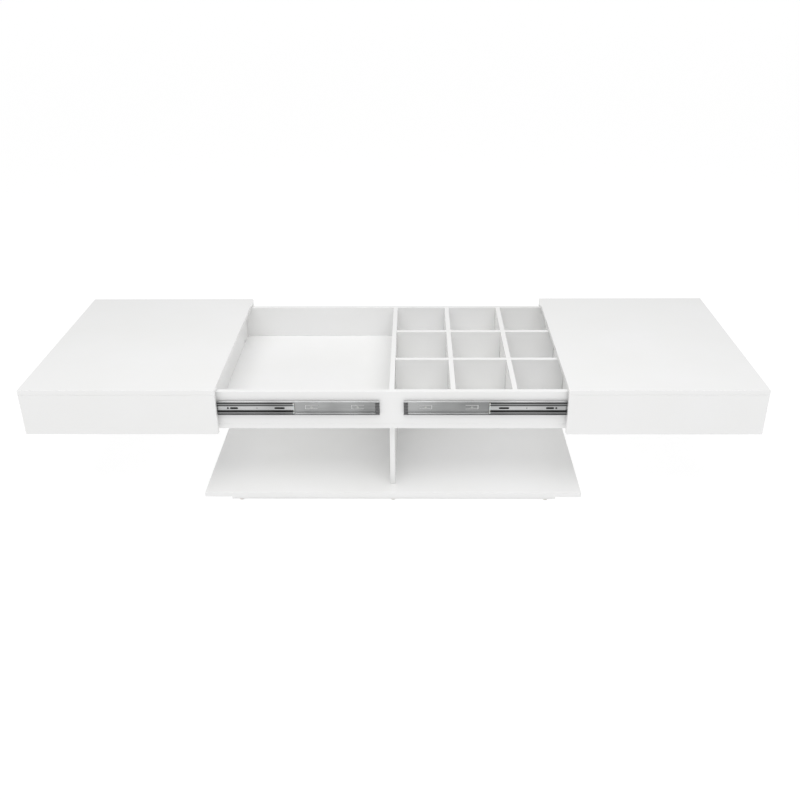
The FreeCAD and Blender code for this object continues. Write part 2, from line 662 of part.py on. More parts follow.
def window(piece, name, start, length, height):
    """A rectangular slot in a web, centred on the centre line."""
    corners = [(start, f"-({height}) / 2"), (f"{start} + {length}", f"-({height}) / 2"),
               (f"{start} + {length}", f"({height}) / 2"), (start, f"({height}) / 2")]
    return cut_through(piece, name, outline(piece, name + "_outline", "XZ_Plane", corners))


def round_hole(piece, name, centre, radius):
    """A round hole in a web, on the centre line."""
    sketch = piece.newObject("Sketcher::SketchObject", name + "_outline")
    sketch.AttachmentSupport = (origin_plane(piece, "XZ_Plane"), [""])
    sketch.MapMode = "FlatFace"
    middle = FreeCAD.Vector(number(centre), 0, 0)
    sketch.addGeometry(Part.Circle(middle, FreeCAD.Vector(0, 0, 1), number(radius)))
    sketch.addConstraint(Sketcher.Constraint("PointOnObject", 0, 3, -1))
    across = sketch.addConstraint(Sketcher.Constraint("DistanceX", -1, 1, 0, 3, number(centre)))
    sketch.setExpression(f"Constraints[{across}]", bound(centre))
    size = sketch.addConstraint(Sketcher.Constraint("Radius", 0, number(radius)))
    sketch.setExpression(f"Constraints[{size}]", bound(radius))
    return cut_through(piece, name, sketch)


def lanced_tongue(piece, name, start):
    """A three-sided slit that leaves a tongue in the web for a screw."""
    far = f"{start} + tongue_length"
    half = "tongue_height / 2"
    inner = f"({half} - tongue_slit)"
    root = f"{far} - tongue_slit"
    corners = ((start, f"-{half}"), (far, f"-{half}"), (far, half), (start, half),
               (start, inner), (root, inner), (root, f"-{inner}"), (start, f"-{inner}"))
    return cut_through(piece, name, outline(piece, name + "_outline", "XZ_Plane", corners))


def fixed_rail(label):
    profile = channel(0, "rail_sheet", FIXED_REACH, "fixed_height", "fixed_lip")
    piece, blank = rolled(label, profile, "fixed_height", "fixed_start", "fixed_length")
    round_bends(piece, blank)
    lanced_tongue(piece, "first_tongue_slit", "fixed_start + first_tongue")
    lanced_tongue(piece, "second_tongue_slit", "fixed_start + second_tongue")
    for index, along_rail in enumerate(rail_screw_places):
        round_hole(piece, f"screw_hole_{index}", along_rail, "rail_screw_radius + hole_gap")
    return piece


def middle_rail(label):
    profile = channel(MIDDLE_WEB, f"({MIDDLE_WEB} + rail_sheet)", MIDDLE_REACH, MIDDLE_HEIGHT,
                      "middle_lip")
    piece, blank = rolled(label, profile, MIDDLE_HEIGHT, MIDDLE_START, "middle_length")
    round_bends(piece, blank)
    window(piece, "first_slot_cut", f"{MIDDLE_START} + first_slot", "first_slot_length",
           "slot_height")
    window(piece, "second_slot_cut", f"{MIDDLE_START} + second_slot", "second_slot_length",
           "slot_height")
    round_hole(piece, "rivet_hole", f"{MIDDLE_START} + rivet_place", "rivet_radius")
    round_hole(piece, "web_hole", f"{MIDDLE_START} + web_hole_place", "web_hole_radius")
    return piece


def inner_rail(label):
    """The inner rail is a plain channel that opens towards the case."""
    top = f"({INNER_HEIGHT} - rail_sheet)"
    profile = ((INNER_EDGE, 0), ("slide_gap", 0), ("slide_gap", INNER_HEIGHT),
               (INNER_EDGE, INNER_HEIGHT), (INNER_EDGE, top), (INNER_WEB, top),
               (INNER_WEB, "rail_sheet"), (INNER_EDGE, "rail_sheet"))
    piece, blank = rolled(label, profile, INNER_HEIGHT, INNER_START, "inner_length")
    round_bends(piece, blank)
    for index, near in enumerate(inner_screw_places):
        round_hole(piece, f"screw_hole_{index}", f"{LEAF_START} + {near}",
                   "rail_screw_radius + hole_gap")
    return piece


def ball_cage(label, rail_height, web, start, length):
    """A thin channel holed along both flanges, with its two rows of balls.

    rail_height is the outside of the rail that the balls run on, from its inside.
    """
    line = f"({rail_height} / 2 + race_gap + ball_radius)"
    depth = f"({web} + cage_sheet + cage_edge + ball_gap + ball_radius)"
    reach = f"({depth} + ball_radius + ball_gap + cage_edge)"
    height = f"(2 * {line} + cage_sheet)"
    web_face = f"({web} + cage_sheet)"
    upper = f"({height} - cage_sheet)"
    profile = ((web, 0), (reach, 0), (reach, "cage_sheet"), (web_face, "cage_sheet"),
               (web_face, upper), (reach, upper), (reach, height), (web, height))
    strip, blank = rolled(label + "_strip", profile, height, start, length)
    places = [f"{start} + {step + 0.5} * ball_pitch"
              for step in range(int(number(length) / number("ball_pitch")))]
    row = strip.newObject("Sketcher::SketchObject", "ball_row")
    row.AttachmentSupport = (origin_plane(strip, "XY_Plane"), [""])
    row.MapMode = "FlatFace"
    hole = "ball_radius + ball_gap"
    for index, centre in enumerate(places):
        middle = FreeCAD.Vector(number(centre), number(depth), 0)
        row.addGeometry(Part.Circle(middle, FreeCAD.Vector(0, 0, 1), number(hole)))
        for kind, formula in (("DistanceX", centre), ("DistanceY", depth)):
            size = number(formula)
            added = row.addConstraint(Sketcher.Constraint(kind, -1, 1, index, 3, size))
            row.setExpression(f"Constraints[{added}]", bound(formula))
        added = row.addConstraint(Sketcher.Constraint("Radius", index, number(hole)))
        row.setExpression(f"Constraints[{added}]", bound(hole))
    cut_through(strip, "ball_holes", row)
    balls = []
    for centre in places:
        for side in (-1, 1):
            ball = doc.addObject("Part::Sphere", "ball")
            ball.setExpression("Radius", bound("ball_radius"))
            balls.append(place(ball, centre, depth, f"{side} * {line}"))
    return group(label, [strip] + balls)


def end_stop(label):
    """A rubber block between the flanges at the inner end of a fixed rail."""
    piece = doc.addObject("PartDesign::Body", label)
    inner = "rail_sheet + stop_gap"
    height = "(fixed_height - 2 * rail_sheet - 2 * stop_gap)"
    corners = ((inner, 0), (f"{inner} + stop_depth", 0), (f"{inner} + stop_depth", height),
               (inner, height))
    lift = (0, f"-{height} / 2", "fixed_start + stop_start")
    blank = pad(piece, "blank", outline(piece, "section", "YZ_Plane", corners, lift), "stop_length")
    soften(piece, blank, range(1, len(blank.Shape.Edges) + 1), "edge_round")
    return piece


stops = []
for quarter, back, turn in QUARTERS:
    outer_cage = ball_cage(f"{quarter}_outer_ball_cage", MIDDLE_HEIGHT, OUTER_CAGE_WEB,
                           OUTER_CAGE_START, "outer_cage_length")
    inner_cage = ball_cage(f"{quarter}_inner_ball_cage", INNER_HEIGHT, INNER_CAGE_WEB,
                           INNER_CAGE_START, "inner_cage_length")
    slide = [fixed_rail(f"{quarter}_fixed_rail"), middle_rail(f"{quarter}_middle_rail"),
             inner_rail(f"{quarter}_inner_rail"), outer_cage, inner_cage]
    stops.append(end_stop(f"{quarter}_stop"))
    for piece in slide + stops[-1:]:
        piece.Placement = FreeCAD.Placement(FreeCAD.Vector(), turn)
        place(piece, 0, f"{back} * {CASE_HALF_DEPTH}", SLIDE_LINE)
    nodes += slide
nodes.append(group("slide_end_stops", stops))

screws = []
for back in (-1, 1):
    inwards = "-Y" if back > 0 else "+Y"
    seat = f"{back} * ({CASE_HALF_DEPTH} + rail_sheet)"
    for side in (-1, 1):
        for along_rail in rail_screw_places:
            screws.append(pan_screw(inwards, (f"{side} * ({along_rail})", seat, SLIDE_LINE)))
nodes.append(group("fixed_rail_screws", screws))

# ---------------------------------------------------------------------------------------------
# Check everything, then write one file for each node
# ---------------------------------------------------------------------------------------------
doc.recompute()
for feature in doc.Objects:
    if "Invalid" in feature.State or "Error" in feature.State:
        raise RuntimeError(f"{feature.Name} failed: {feature.State}")
labels = [node.Label for node in nodes]
if len(set(labels)) != len(labels):
    raise RuntimeError("two nodes share a label")
for node in nodes:
    if node.Shape.isNull() or not node.Shape.isValid():
        raise RuntimeError(f"{node.Label} has no valid shape")
for node in nodes:
    node.Shape.exportStep(os.path.join("parts", node.Label + ".step"))
print(len(nodes), "nodes written")
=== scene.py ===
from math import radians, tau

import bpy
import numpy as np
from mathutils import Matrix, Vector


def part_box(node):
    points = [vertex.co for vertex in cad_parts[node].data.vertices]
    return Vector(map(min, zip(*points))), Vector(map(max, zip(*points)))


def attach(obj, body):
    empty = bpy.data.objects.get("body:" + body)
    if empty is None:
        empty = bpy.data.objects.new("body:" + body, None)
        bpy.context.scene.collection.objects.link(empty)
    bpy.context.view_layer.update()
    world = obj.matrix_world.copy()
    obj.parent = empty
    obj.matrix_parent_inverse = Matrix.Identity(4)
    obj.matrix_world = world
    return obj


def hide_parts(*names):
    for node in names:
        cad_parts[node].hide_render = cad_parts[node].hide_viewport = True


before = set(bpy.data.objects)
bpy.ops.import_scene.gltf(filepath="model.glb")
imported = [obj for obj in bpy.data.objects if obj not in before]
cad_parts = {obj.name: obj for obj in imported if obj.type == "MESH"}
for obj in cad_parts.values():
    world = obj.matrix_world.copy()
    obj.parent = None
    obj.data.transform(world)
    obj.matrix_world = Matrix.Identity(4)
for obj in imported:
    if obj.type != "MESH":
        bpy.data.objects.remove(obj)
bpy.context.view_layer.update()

# %% [markdown]
# # A coffee table whose top slides apart
#
# The table is flat-pack furniture: white lacquered boards, a storage case with compartments under
# the top, and four ball-bearing slides that carry the two halves of the top. The frame that was
# just loaded holds every board and every rail as a plain solid. This script gives the boards
# their finish, and builds the fittings again with the detail that a press, a rolling mill, a
# lathe or a mould gives them.
#
# Everything is in metres. X runs along the table, Y to the back and Z up, from the floor under
# the middle of the table. Sizes of fittings are written in millimetres and multiplied by MM.

MM = 0.001

# %% [markdown]
# ## Reading the frame
#
# A new piece goes where the frame's own part is. Most parts are single boards or rails, so the
# box of the node is enough. Screws, dowels and locks come in sets, many solids in one node, and
# each screw has to be found in its set. Solids don't share corners, so a label handed from corner
# to corner across the faces never leaves its solid.

# %% Boxes of the solids in a node
def face_corners(mesh):
    """The place of every corner of every triangle of a mesh, as an array of (face, 3, xyz)."""
    places = np.empty(len(mesh.vertices) * 3)
    mesh.vertices.foreach_get("co", places)
    corners = np.empty(len(mesh.loops), dtype=int)
    mesh.loops.foreach_get("vertex_index", corners)
    return places.reshape(-1, 3)[corners].reshape(-1, 3, 3)


def solid_boxes(node):
    """Lowest and highest corner of each solid: every point takes the smallest label of its faces
    until no label changes, and points with the same label belong to one solid."""
    triangles = face_corners(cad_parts[node].data)
    points, corners = np.unique(triangles.reshape(-1, 3).round(6), axis=0, return_inverse=True)
    corners = corners.reshape(-1, 3)
    label = np.arange(len(points))
    while True:
        smaller = label.copy()
        np.minimum.at(smaller, corners.ravel(), np.repeat(label[corners].min(axis=1), 3))
        if np.array_equal(smaller, label):
            break
        label = smaller
    solids = [points[label == value] for value in np.unique(label)]
    return [(solid.min(axis=0), solid.max(axis=0)) for solid in solids]


print("solids in the case's screw set:", len(solid_boxes("case_screws")))

# %% [markdown]
# ## Turning arrays into pieces
#
# A surface here is worked out as arrays: one of points, and one of faces that number the points.
# One function turns such arrays into a mesh. Its faces are shaded smooth, except across edges
# that turn more sharply than a rolled bend does, so rolled metal looks round and a cut edge
# stays crisp. Another function hangs the piece on the body that it moves with.

# %% Meshes and pieces
SHARP_TURN = radians(32)


def grid_faces(rows, columns, closed=False):
    """Quads between the points of a grid that is stored row by row. A closed grid joins its last
    column to its first."""
    across = np.arange(columns if closed else columns - 1)
    corner = (np.arange(rows - 1)[:, None] * columns + across).ravel()
    right = (np.arange(rows - 1)[:, None] * columns + (across + 1) % columns).ravel()
    return np.stack([corner, right, right + columns, corner + columns], axis=1)


def joined(surfaces):
    """Several (points, faces) pairs as one, with the numbers in the faces shifted."""
    shifts = np.cumsum([0] + [len(points) for points, faces in surfaces[:-1]])
    faces = [face + shift for (points, part), shift in zip(surfaces, shifts) for face in part]
    return np.concatenate([points for points, faces in surfaces]), faces


def make_piece(name, surface, material, body, slot, *nodes):
    """An object made of (points, faces) that rides on a body, takes the given material and stands
    for these nodes, if there are any. Its slot is not used."""
    points, faces = surface
    mesh = bpy.data.meshes.new(name)
    mesh.from_pydata(points.tolist(), [], [list(map(int, face)) for face in faces])
    mesh.validate()
    mesh.shade_smooth()
    mesh.set_sharp_from_angle(angle=SHARP_TURN)
    mesh.materials.append(material)
    piece = bpy.data.objects.new(name, mesh)
    bpy.context.scene.collection.objects.link(piece)
    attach(piece, body)
    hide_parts(*nodes)
    return piece

# %% [markdown]
# ## Building materials
#
# A material is a small network of nodes that ends in one surface shader. Two helpers keep the
# recipes short: one turns a hex colour, which is stored the way a screen shows it, into the
# linear light that the renderer adds up, and one adds a node with its settings and links.

# %% Colour and node helpers
def linear(hex_colour):
    """Screen colour to linear light: a channel is divided by 12.92 near black, and above that
    raised to the power 2.4 after a small shift."""
    screen = np.array([int(hex_colour[place:place + 2], 16) for place in (1, 3, 5)]) / 255
    light = np.where(screen <= 0.04045, screen / 12.92, ((screen + 0.055) / 1.055) ** 2.4)
    return (*light.tolist(), 1.0)


def add_node(tree, kind, settings=None, **sockets):
    """A node of a kind with its settings. A socket is given a value, or a (node, output) pair
    to be linked to. A number that follows an underscore at the end names a socket by place."""
    node = tree.nodes.new("ShaderNode" + kind)
    for setting, value in (settings or {}).items():
        setattr(node, setting, value)
    for name, value in sockets.items():
        last = name.rsplit("_", 1)[-1]
        socket = node.inputs[int(last) if last.isdigit() else name.replace("_", " ")]
        if isinstance(value, tuple) and isinstance(value[0], bpy.types.Node):
            tree.links.new(value[0].outputs[value[1]], socket)
        else:
            socket.default_value = value
    return node


def new_material(name, **surface):
    """A material with one Principled surface, whose constant values are set on its sockets, and
    the node that gives its patterns the place of a point on the piece."""
    material = bpy.data.materials.new(name)
    material.use_nodes = True
    tree = material.node_tree
    shader = tree.nodes["Principled BSDF"]
    for socket, value in surface.items():
        shader.inputs[socket.replace("_", " ")].default_value = value
    return material, tree, shader, add_node(tree, "TexCoord")


def feed(tree, shader, socket, node, output):
    """Link a node's output to a socket of the surface shader."""
    tree.links.new(node.outputs[output], shader.inputs[socket])

# %% [markdown]
# ## White lacquer on MDF
#
# The boards are medium-density fibreboard, sprayed with white polyurethane lacquer and cured. The
# lacquer gives three things to the eye: an even, neutral white; a clear gloss that is a little
# blurred, because sprayed lacquer dries with a fine ripple called orange peel; and a slightly
# warmer tone where the film is thin. Orange peel has ripples two to three millimetres apart and
# some hundredths of a millimetre deep, so it is bump and not shape.

# %% The lacquer
PEEL_SPACING = 2.6 * MM
CLOUD_SPACING = 240 * MM
lacquer, tree, shader, where = new_material(
    "white_polyurethane_lacquer_on_mdf", Roughness=0.2, IOR=1.5)
clouds = add_node(tree, "TexNoise", Vector=(where, "Object"), Scale=1 / CLOUD_SPACING, Detail=3.0)
tone = add_node(tree, "MapRange", Value=(clouds, "Fac"), From_Min=0.3, From_Max=0.7)
white = add_node(tree, "Mix", {"data_type": "RGBA"}, Factor=(tone, "Result"),
                 _6=linear("#F3F3F2"), _7=linear("#F5F5F5"))
feed(tree, shader, "Base Color", white, 2)
gloss = add_node(tree, "MapRange", Value=(clouds, "Fac"), From_Min=0.3, From_Max=0.7,
                 To_Min=0.17, To_Max=0.23)
feed(tree, shader, "Roughness", gloss, "Result")
peel = add_node(tree, "TexNoise", Vector=(where, "Object"), Scale=1 / PEEL_SPACING, Detail=1.0)
ripple = add_node(tree, "Bump", Strength=0.12, Distance=0.02 * MM, Height=(peel, "Fac"))
feed(tree, shader, "Normal", ripple, "Normal")
print("lacquer made with", len(tree.nodes), "nodes")

# %% [markdown]
# ## Rolled and zinc-plated steel
#
# The rails of a slide are cold-rolled steel strip, formed between rollers and plated with bright
# zinc. Rolling leaves faint lines along the strip, a fraction of a millimetre apart and many
# centimetres long, and plating makes the metal pale and slightly milky. A stretched noise gives
# the lines: it changes slowly along X and fast across it. The real lines are about 0.1 mm apart
# and wouldn't show, so they are drawn 0.7 mm apart. The raised middle of a middle rail and the
# outsides of a fixed rail's flanges are painted lighter, a painted highlight where light falls on
# them, and the lips of a middle rail are painted darker, painted shade, so the rails take three
# tones of the same steel.

# %% Metals of the slides and the screws
ROLL_LINE, ROLL_LENGTH = 0.7 * MM, 90 * MM
BLOOM_SPACING = 110 * MM


def plated_metal(name, dark, light, smooth, rough, spacing, bump=0.05):
    """Metal whose tone and roughness follow one noise. The spacing of the noise is given along
    X, Y and Z, so a lining has one long spacing and a cast skin three equal ones. The tone adds
    a slow noise, the milky bloom of the plating."""
    material, tree, shader, where = new_material(name, Metallic=1.0)
    scaled = add_node(tree, "Mapping", Vector=(where, "Object"),
                      Scale=[1 / distance for distance in spacing])
    noise = add_node(tree, "TexNoise", Vector=(scaled, "Vector"), Scale=1.0, Detail=4.0)
    bloom = add_node(tree, "TexNoise", Vector=(where, "Object"), Scale=1 / BLOOM_SPACING,
                     Detail=1.0)
    both = add_node(tree, "Math", {"operation": "ADD"}, _0=(noise, "Fac"), _1=(bloom, "Fac"))
    share = add_node(tree, "MapRange", Value=(both, "Value"), From_Min=0.75, From_Max=1.25)
    tone = add_node(tree, "Mix", {"data_type": "RGBA"}, Factor=(share, "Result"),
                    _6=linear(dark), _7=linear(light))
    gloss = add_node(tree, "MapRange", Value=(noise, "Fac"), From_Min=0.3, From_Max=0.7,
                     To_Min=smooth, To_Max=rough)
    relief = add_node(tree, "Bump", Strength=bump, Distance=0.05 * MM, Height=(noise, "Fac"))
    feed(tree, shader, "Base Color", tone, 2)
    feed(tree, shader, "Roughness", gloss, "Result")
    feed(tree, shader, "Normal", relief, "Normal")
    return material


rolled_zinc = plated_metal("cold_rolled_steel_with_clear_zinc", "#838484", "#B0B1B1", 0.28, 0.42,
                           (ROLL_LENGTH, ROLL_LINE, ROLL_LINE))
# a lighter copy of the rails' zinc: painted highlight on the raised middle of the middle rails and
# on the outsides of the fixed rails' flanges
zinc_painted_highlight = plated_metal("cold_rolled_steel_zinc_with_painted_highlight", "#A6A7A7", "#CCCDCD", 0.20, 0.32,
                           (ROLL_LENGTH, ROLL_LINE, ROLL_LINE))
# a darker copy of the rails' zinc: painted shade on the middle rails outside their raised middle,
# on the lips
zinc_painted_shade = plated_metal("cold_rolled_steel_zinc_with_painted_shade", "#808181", "#989999", 0.32, 0.46,
                         (ROLL_LENGTH, ROLL_LINE, ROLL_LINE))
ball_chrome = plated_metal("ground_chrome_steel", "#C6C8CA", "#D2D4D6", 0.06, 0.10,
                           (1 * MM, 1 * MM, 1 * MM), bump=0.01)
screw_zinc = plated_metal("cold_headed_steel_with_clear_zinc", "#B0B2B0", "#C9CAC6", 0.24, 0.38,
                          (1.5 * MM, 1.5 * MM, 1.5 * MM))
cast_zinc = plated_metal("die_cast_zinc", "#9A9C9E", "#B2B4B5", 0.38, 0.55,
                         (0.8 * MM, 0.8 * MM, 0.8 * MM), bump=0.3)
metals = rolled_zinc, zinc_painted_highlight, zinc_painted_shade, ball_chrome, screw_zinc, cast_zinc
print("metals:", [metal.name for metal in metals])

# %% [markdown]
# ## Rubber, polyethylene and beech
#
# The stops at the inner ends of the slides are moulded rubber: nearly black, dull, with a fine
# skin copied from the mould. The glides are moulded polyethylene: milky, waxy, and lit a little
# from inside. The retainers of the balls are black polyacetal, hard and slightly glossy. The
# outsides of the middle rails' flanges, at the races, are painted near-black with a lumpy bump:
# painted shade where the gap between the rails lies. The dowels are turned beech: pale brown
# with darker lines along the grain. A dowel can point any way, so its grain follows the place on
# the dowel itself, which the mesh carries as an attribute called own_place.

# %% Rubber, polyethylene and beech
MOULD_GRAIN = 0.5 * MM
GRAIN_WIDTH, GRAIN_LENGTH = 0.6 * MM, 18 * MM


def grained(name, dark, light, relief, **surface):
    """Rubber, plastic or the near-black of painted shade, whose tone and bump follow one fine
    noise, which stands for the skin copied from a mould or for lumps in the near-black."""
    material, tree, shader, where = new_material(name, **surface)
    skin = add_node(tree, "TexNoise", Vector=(where, "Object"), Scale=1 / MOULD_GRAIN, Detail=2.0)
    tone = add_node(tree, "Mix", {"data_type": "RGBA"}, Factor=(skin, "Fac"),
                    _6=linear(dark), _7=linear(light))
    bump = add_node(tree, "Bump", Strength=relief, Distance=0.05 * MM, Height=(skin, "Fac"))
    feed(tree, shader, "Base Color", tone, 2)
    feed(tree, shader, "Normal", bump, "Normal")
    return material


rubber = grained("moulded_grey_rubber", "#4C4C4D", "#787879", 0.4, Roughness=0.62, IOR=1.52)
cage_plastic = grained("moulded_black_polyacetal", "#0C0C0D", "#151516", 0.2,
                       Roughness=0.5, IOR=1.48)
# near-black on the outsides of the middle rails' flanges: painted shade where the gap between the
# rails lies
black_painted_shade = grained("black_painted_shade_on_flanges", "#0A0A0B", "#1B1B1C", 0.6,
                      Roughness=0.42, IOR=1.47)
polyethylene = grained("moulded_polyethylene", "#DAD9D3", "#E6E5E0", 0.15,
                       Roughness=0.45, IOR=1.51, Subsurface_Weight=0.15)

beech, tree, shader, where = new_material("turned_beech", Roughness=0.58, IOR=1.5)
own = add_node(tree, "Attribute", {"attribute_name": "own_place"})
grain_scale = [1 / GRAIN_WIDTH, 1 / GRAIN_WIDTH, 1 / GRAIN_LENGTH]
scaled = add_node(tree, "Mapping", Vector=(own, "Vector"), Scale=grain_scale)
grain = add_node(tree, "TexNoise", Vector=(scaled, "Vector"), Scale=1.0, Detail=5.0)
share = add_node(tree, "MapRange", Value=(grain, "Fac"), From_Min=0.3, From_Max=0.7)
tone = add_node(tree, "Mix", {"data_type": "RGBA"}, Factor=(share, "Result"),
                _6=linear("#B98F62"), _7=linear("#DDBD93"))
relief = add_node(tree, "Bump", Strength=0.3, Distance=0.05 * MM, Height=(grain, "Fac"))
feed(tree, shader, "Base Color", tone, 2)
feed(tree, shader, "Normal", relief, "Normal")
print("soft materials:", rubber.name, cage_plastic.name, polyethylene.name, beech.name)

# %% [markdown]
# ## The boards
#
# Every board of the frame already has its real shape, with softened edges, notches and drilled
# holes, so it stays and only takes the lacquer. The parts that aren't boards are built again below.
# Listing the fittings once is enough to tell the two apart.

# %% Lacquer on every board
FITTINGS = ("rail", "cage", "screws", "dowels", "locks", "stops", "glides")
boards = [node for name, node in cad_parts.items()
          if name.startswith("plinth") or not name.endswith(FITTINGS)]
for node in boards:
    node.data.materials.clear()
    node.data.materials.append(lacquer)
print(len(boards), "boards are lacquered")

# %% [markdown]
# ## Steel strip, punched and then bent
#
# A rail starts as a flat strip. A press punches its slots and holes, and rollers bend it to a
# channel. The mesh is made the same way. The flat strip is a grid of (distance along, distance
# across). Where a hole comes, a window of grid cells is left out and filled by rings that move
# from the window's border to the outline of the hole. Then the distance across is looked up on
# the section line, which gives the point its place on the bent rail. Last, the strip gets its
# thickness: the points are moved half of it to each side, and the open edges are joined by a rim.

# %% Section lines
def bent_line(corners, radius, steps=5):
    """A line with rounded corners. At a corner the sides meet at an angle a, the arc leaves them
    radius / tan(a / 2) before the corner, and its centre lies radius / sin(a / 2) from it."""
    corners = np.array(corners, dtype=float)
    line = [corners[:1]]
    for before, corner, after in zip(corners, corners[1:], corners[2:]):
        to_before = (before - corner) / np.linalg.norm(before - corner)
        to_after = (after - corner) / np.linalg.norm(after - corner)
        half = np.arccos(np.clip(to_before @ to_after, -1, 1)) / 2
        inwards = (to_before + to_after) / np.linalg.norm(to_before + to_after)
        centre = corner + inwards * radius / np.sin(half)
        reach = radius / np.tan(half)
        spokes = np.stack([corner + to_before * reach, corner + to_after * reach]) - centre
        angles = np.unwrap(np.arctan2(spokes[:, 1], spokes[:, 0]))
        angle = np.linspace(*angles, steps + 1)
        line.append(centre + radius * np.stack([np.cos(angle), np.sin(angle)], axis=1))
    line.append(corners[-1:])
    return np.concatenate(line)


def both_halves(upper):
    """The corners of a whole section from those of its upper half, web first."""
    return [(out, -up) for out, up in reversed(upper)] + list(upper)


def distances(line):
    """How far along the line each of its points is."""
    return np.concatenate([[0], np.cumsum(np.linalg.norm(np.diff(line, axis=0), axis=1))])


# %% The punched flat strip
def hole_window(along, across, spine, radius, margin):
    """A window round a hole with straight sides: spine is half the distance between the centres
    of its two round ends, and is 0 for a round hole."""
    return along, across, spine, radius, spine + radius + margin, radius + margin


def flat_strip(along, across, windows=(), slits=(), parts=6):
    """Points (along, across) and faces of a strip with holes. The stations of the grid are the
    given ones, the borders of the windows with equal steps between them, and the slits' edges.
    A point of a window's border moves towards the nearest point of the hole's spine, until it is
    one radius from it. A cell whose centre lies in a slit is left out."""
    for x, s, spine, radius, half_x, half_s in windows:
        along = np.append(along, np.linspace(x - half_x, x + half_x, parts + 1))
        across = np.append(across, np.linspace(s - half_s, s + half_s, parts + 1))
    for x_low, x_high, s_low, s_high in slits:
        along = np.append(along, (x_low, x_high))
        across = np.append(across, (s_low, s_high))
    along, across = np.unique(along.round(4)), np.unique(across.round(4))
    points = np.stack(np.meshgrid(along, across, indexing="ij"), axis=-1).reshape(-1, 2)
    number = np.arange(len(points)).reshape(len(along), len(across))
    faces = grid_faces(len(along), len(across))
    middle = points[faces].mean(axis=1)
    kept = np.ones(len(faces), dtype=bool)
    for x_low, x_high, s_low, s_high in slits:
        kept &= ~((middle[:, 0] > x_low) & (middle[:, 0] < x_high)
                  & (middle[:, 1] > s_low) & (middle[:, 1] < s_high))
    rings = []
    for x, s, spine, radius, half_x, half_s in windows:
        inside = (np.abs(middle[:, 0] - x) < half_x) & (np.abs(middle[:, 1] - s) < half_s)
        kept &= ~inside
        rows = np.flatnonzero(np.abs(along - x) < half_x + 1e-3)
        columns = np.flatnonzero(np.abs(across - s) < half_s + 1e-3)
        block = number[rows[0]:rows[-1] + 1, columns[0]:columns[-1] + 1]
        border = np.concatenate([block[:-1, 0], block[-1, :-1], block[:0:-1, -1], block[0, :0:-1]])
        outer = points[border]
        nearest = np.stack([x + np.clip(outer[:, 0] - x, -spine, spine),
                            np.full(len(outer), s)], axis=1)
        away = outer - nearest
        outline = nearest + away * radius / np.linalg.norm(away, axis=1, keepdims=True)
        first = len(points)
        points = np.concatenate([points, (outer + outline) / 2, outline])
        loops = np.stack([border, first + np.arange(len(border)),
                          first + len(border) + np.arange(len(border))])
        ahead = np.roll(loops, -1, axis=1)
        rings.append(np.stack([loops[:-1], ahead[:-1], ahead[1:], loops[1:]],
                              axis=-1).reshape(-1, 4))
    return points, np.concatenate([faces[kept], *rings])


# %% Bending and thickening
def outward(points, faces):
    """Faces of a closed shape point outwards if the volumes of the cones from the origin to
    them, a sixth of the triple product of each triangle's corners, add up to more than zero."""
    quads = np.array([face for face in faces if len(face) == 4], dtype=int)
    low, high = points[quads[:, [0, 1, 2]]], points[quads[:, [0, 2, 3]]]
    volume = sum(np.einsum("ij,ij->i", t[:, 0], np.cross(t[:, 1], t[:, 2])).sum()
                 for t in (low, high))
    return faces if volume > 0 else [face[::-1] for face in faces]


def bent_strip(flat, line, thickness):
    """A flat strip carried onto a section line. A point's distance across it gives its place on
    the line, and the line's normal there, turned a right angle from its direction, gives the
    way in which the strip is thick."""
    (points, faces), along_line = flat, distances(line)
    steps = np.diff(line, axis=0) / np.diff(along_line)[:, None]
    way = np.concatenate([steps[:1], steps[:-1] + steps[1:], steps[-1:]])
    way /= np.linalg.norm(way, axis=1, keepdims=True)
    across = points[:, 1]
    sideways = np.stack([way[:, 1], -way[:, 0]], axis=1)
    place, normal = (np.stack([np.interp(across, along_line, table[:, axis]) for axis in (0, 1)],
                              axis=1) for table in (line, sideways))
    layers = [np.column_stack([points[:, 0], place + side * normal * thickness / 2])
              for side in (1, -1)]
    edges = np.stack([faces, np.roll(faces, -1, axis=1)], axis=-1).reshape(-1, 2)
    count = len(points)
    met = set(map(tuple, edges.tolist()))
    open_edges = np.array([edge for edge in edges.tolist() if (edge[1], edge[0]) not in met])
    rim = np.stack([open_edges[:, 1], open_edges[:, 0],
                    open_edges[:, 0] + count, open_edges[:, 1] + count], axis=1)
    return np.concatenate(layers), np.concatenate([faces, faces[:, ::-1] + count, rim])

# %% [markdown]
# ## The four slides
#
# Each half of the top hangs on two full-extension slides. A slide is three channels inside one
# another: the fixed rail is screwed to the case, the inner rail to the apron, and the middle rail
# runs between them on two rows of balls on each side. All four slides are the same one, turned
# round. So a slide is worked out once, along the table, out from the wall and up from its own
# centre line, and a last step lays it in its quarter of the table.
#
# The fixed rail's flanges are rolled into a raised bead, whose hollow underside is the race that
# the outer balls run in. The inner rail has a shallow groove instead. The lips at the rails' open
# edges keep the balls from falling out.

# %% Where each slide is
RAIL_SHEET = 1.2
SIDES = {"left": -1, "right": 1, "front": -1, "rear": 1}
QUARTERS = [(half, side) for half in ("left", "right") for side in ("front", "rear")]


def slide_frame(node):
    """The way and the zero point of the slide that a node belongs to: 1 or -1 for each axis, and
    the place on the wall where X is 0, at the height of the slide's centre line."""
    half, side = node.split("_")[:2]
    low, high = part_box(f"{half}_{side}_fixed_rail")
    wall = min(abs(low.y), abs(high.y))
    return (SIDES[half], SIDES[side], 1), (0, SIDES[side] * wall, (low.z + high.z) / 2)


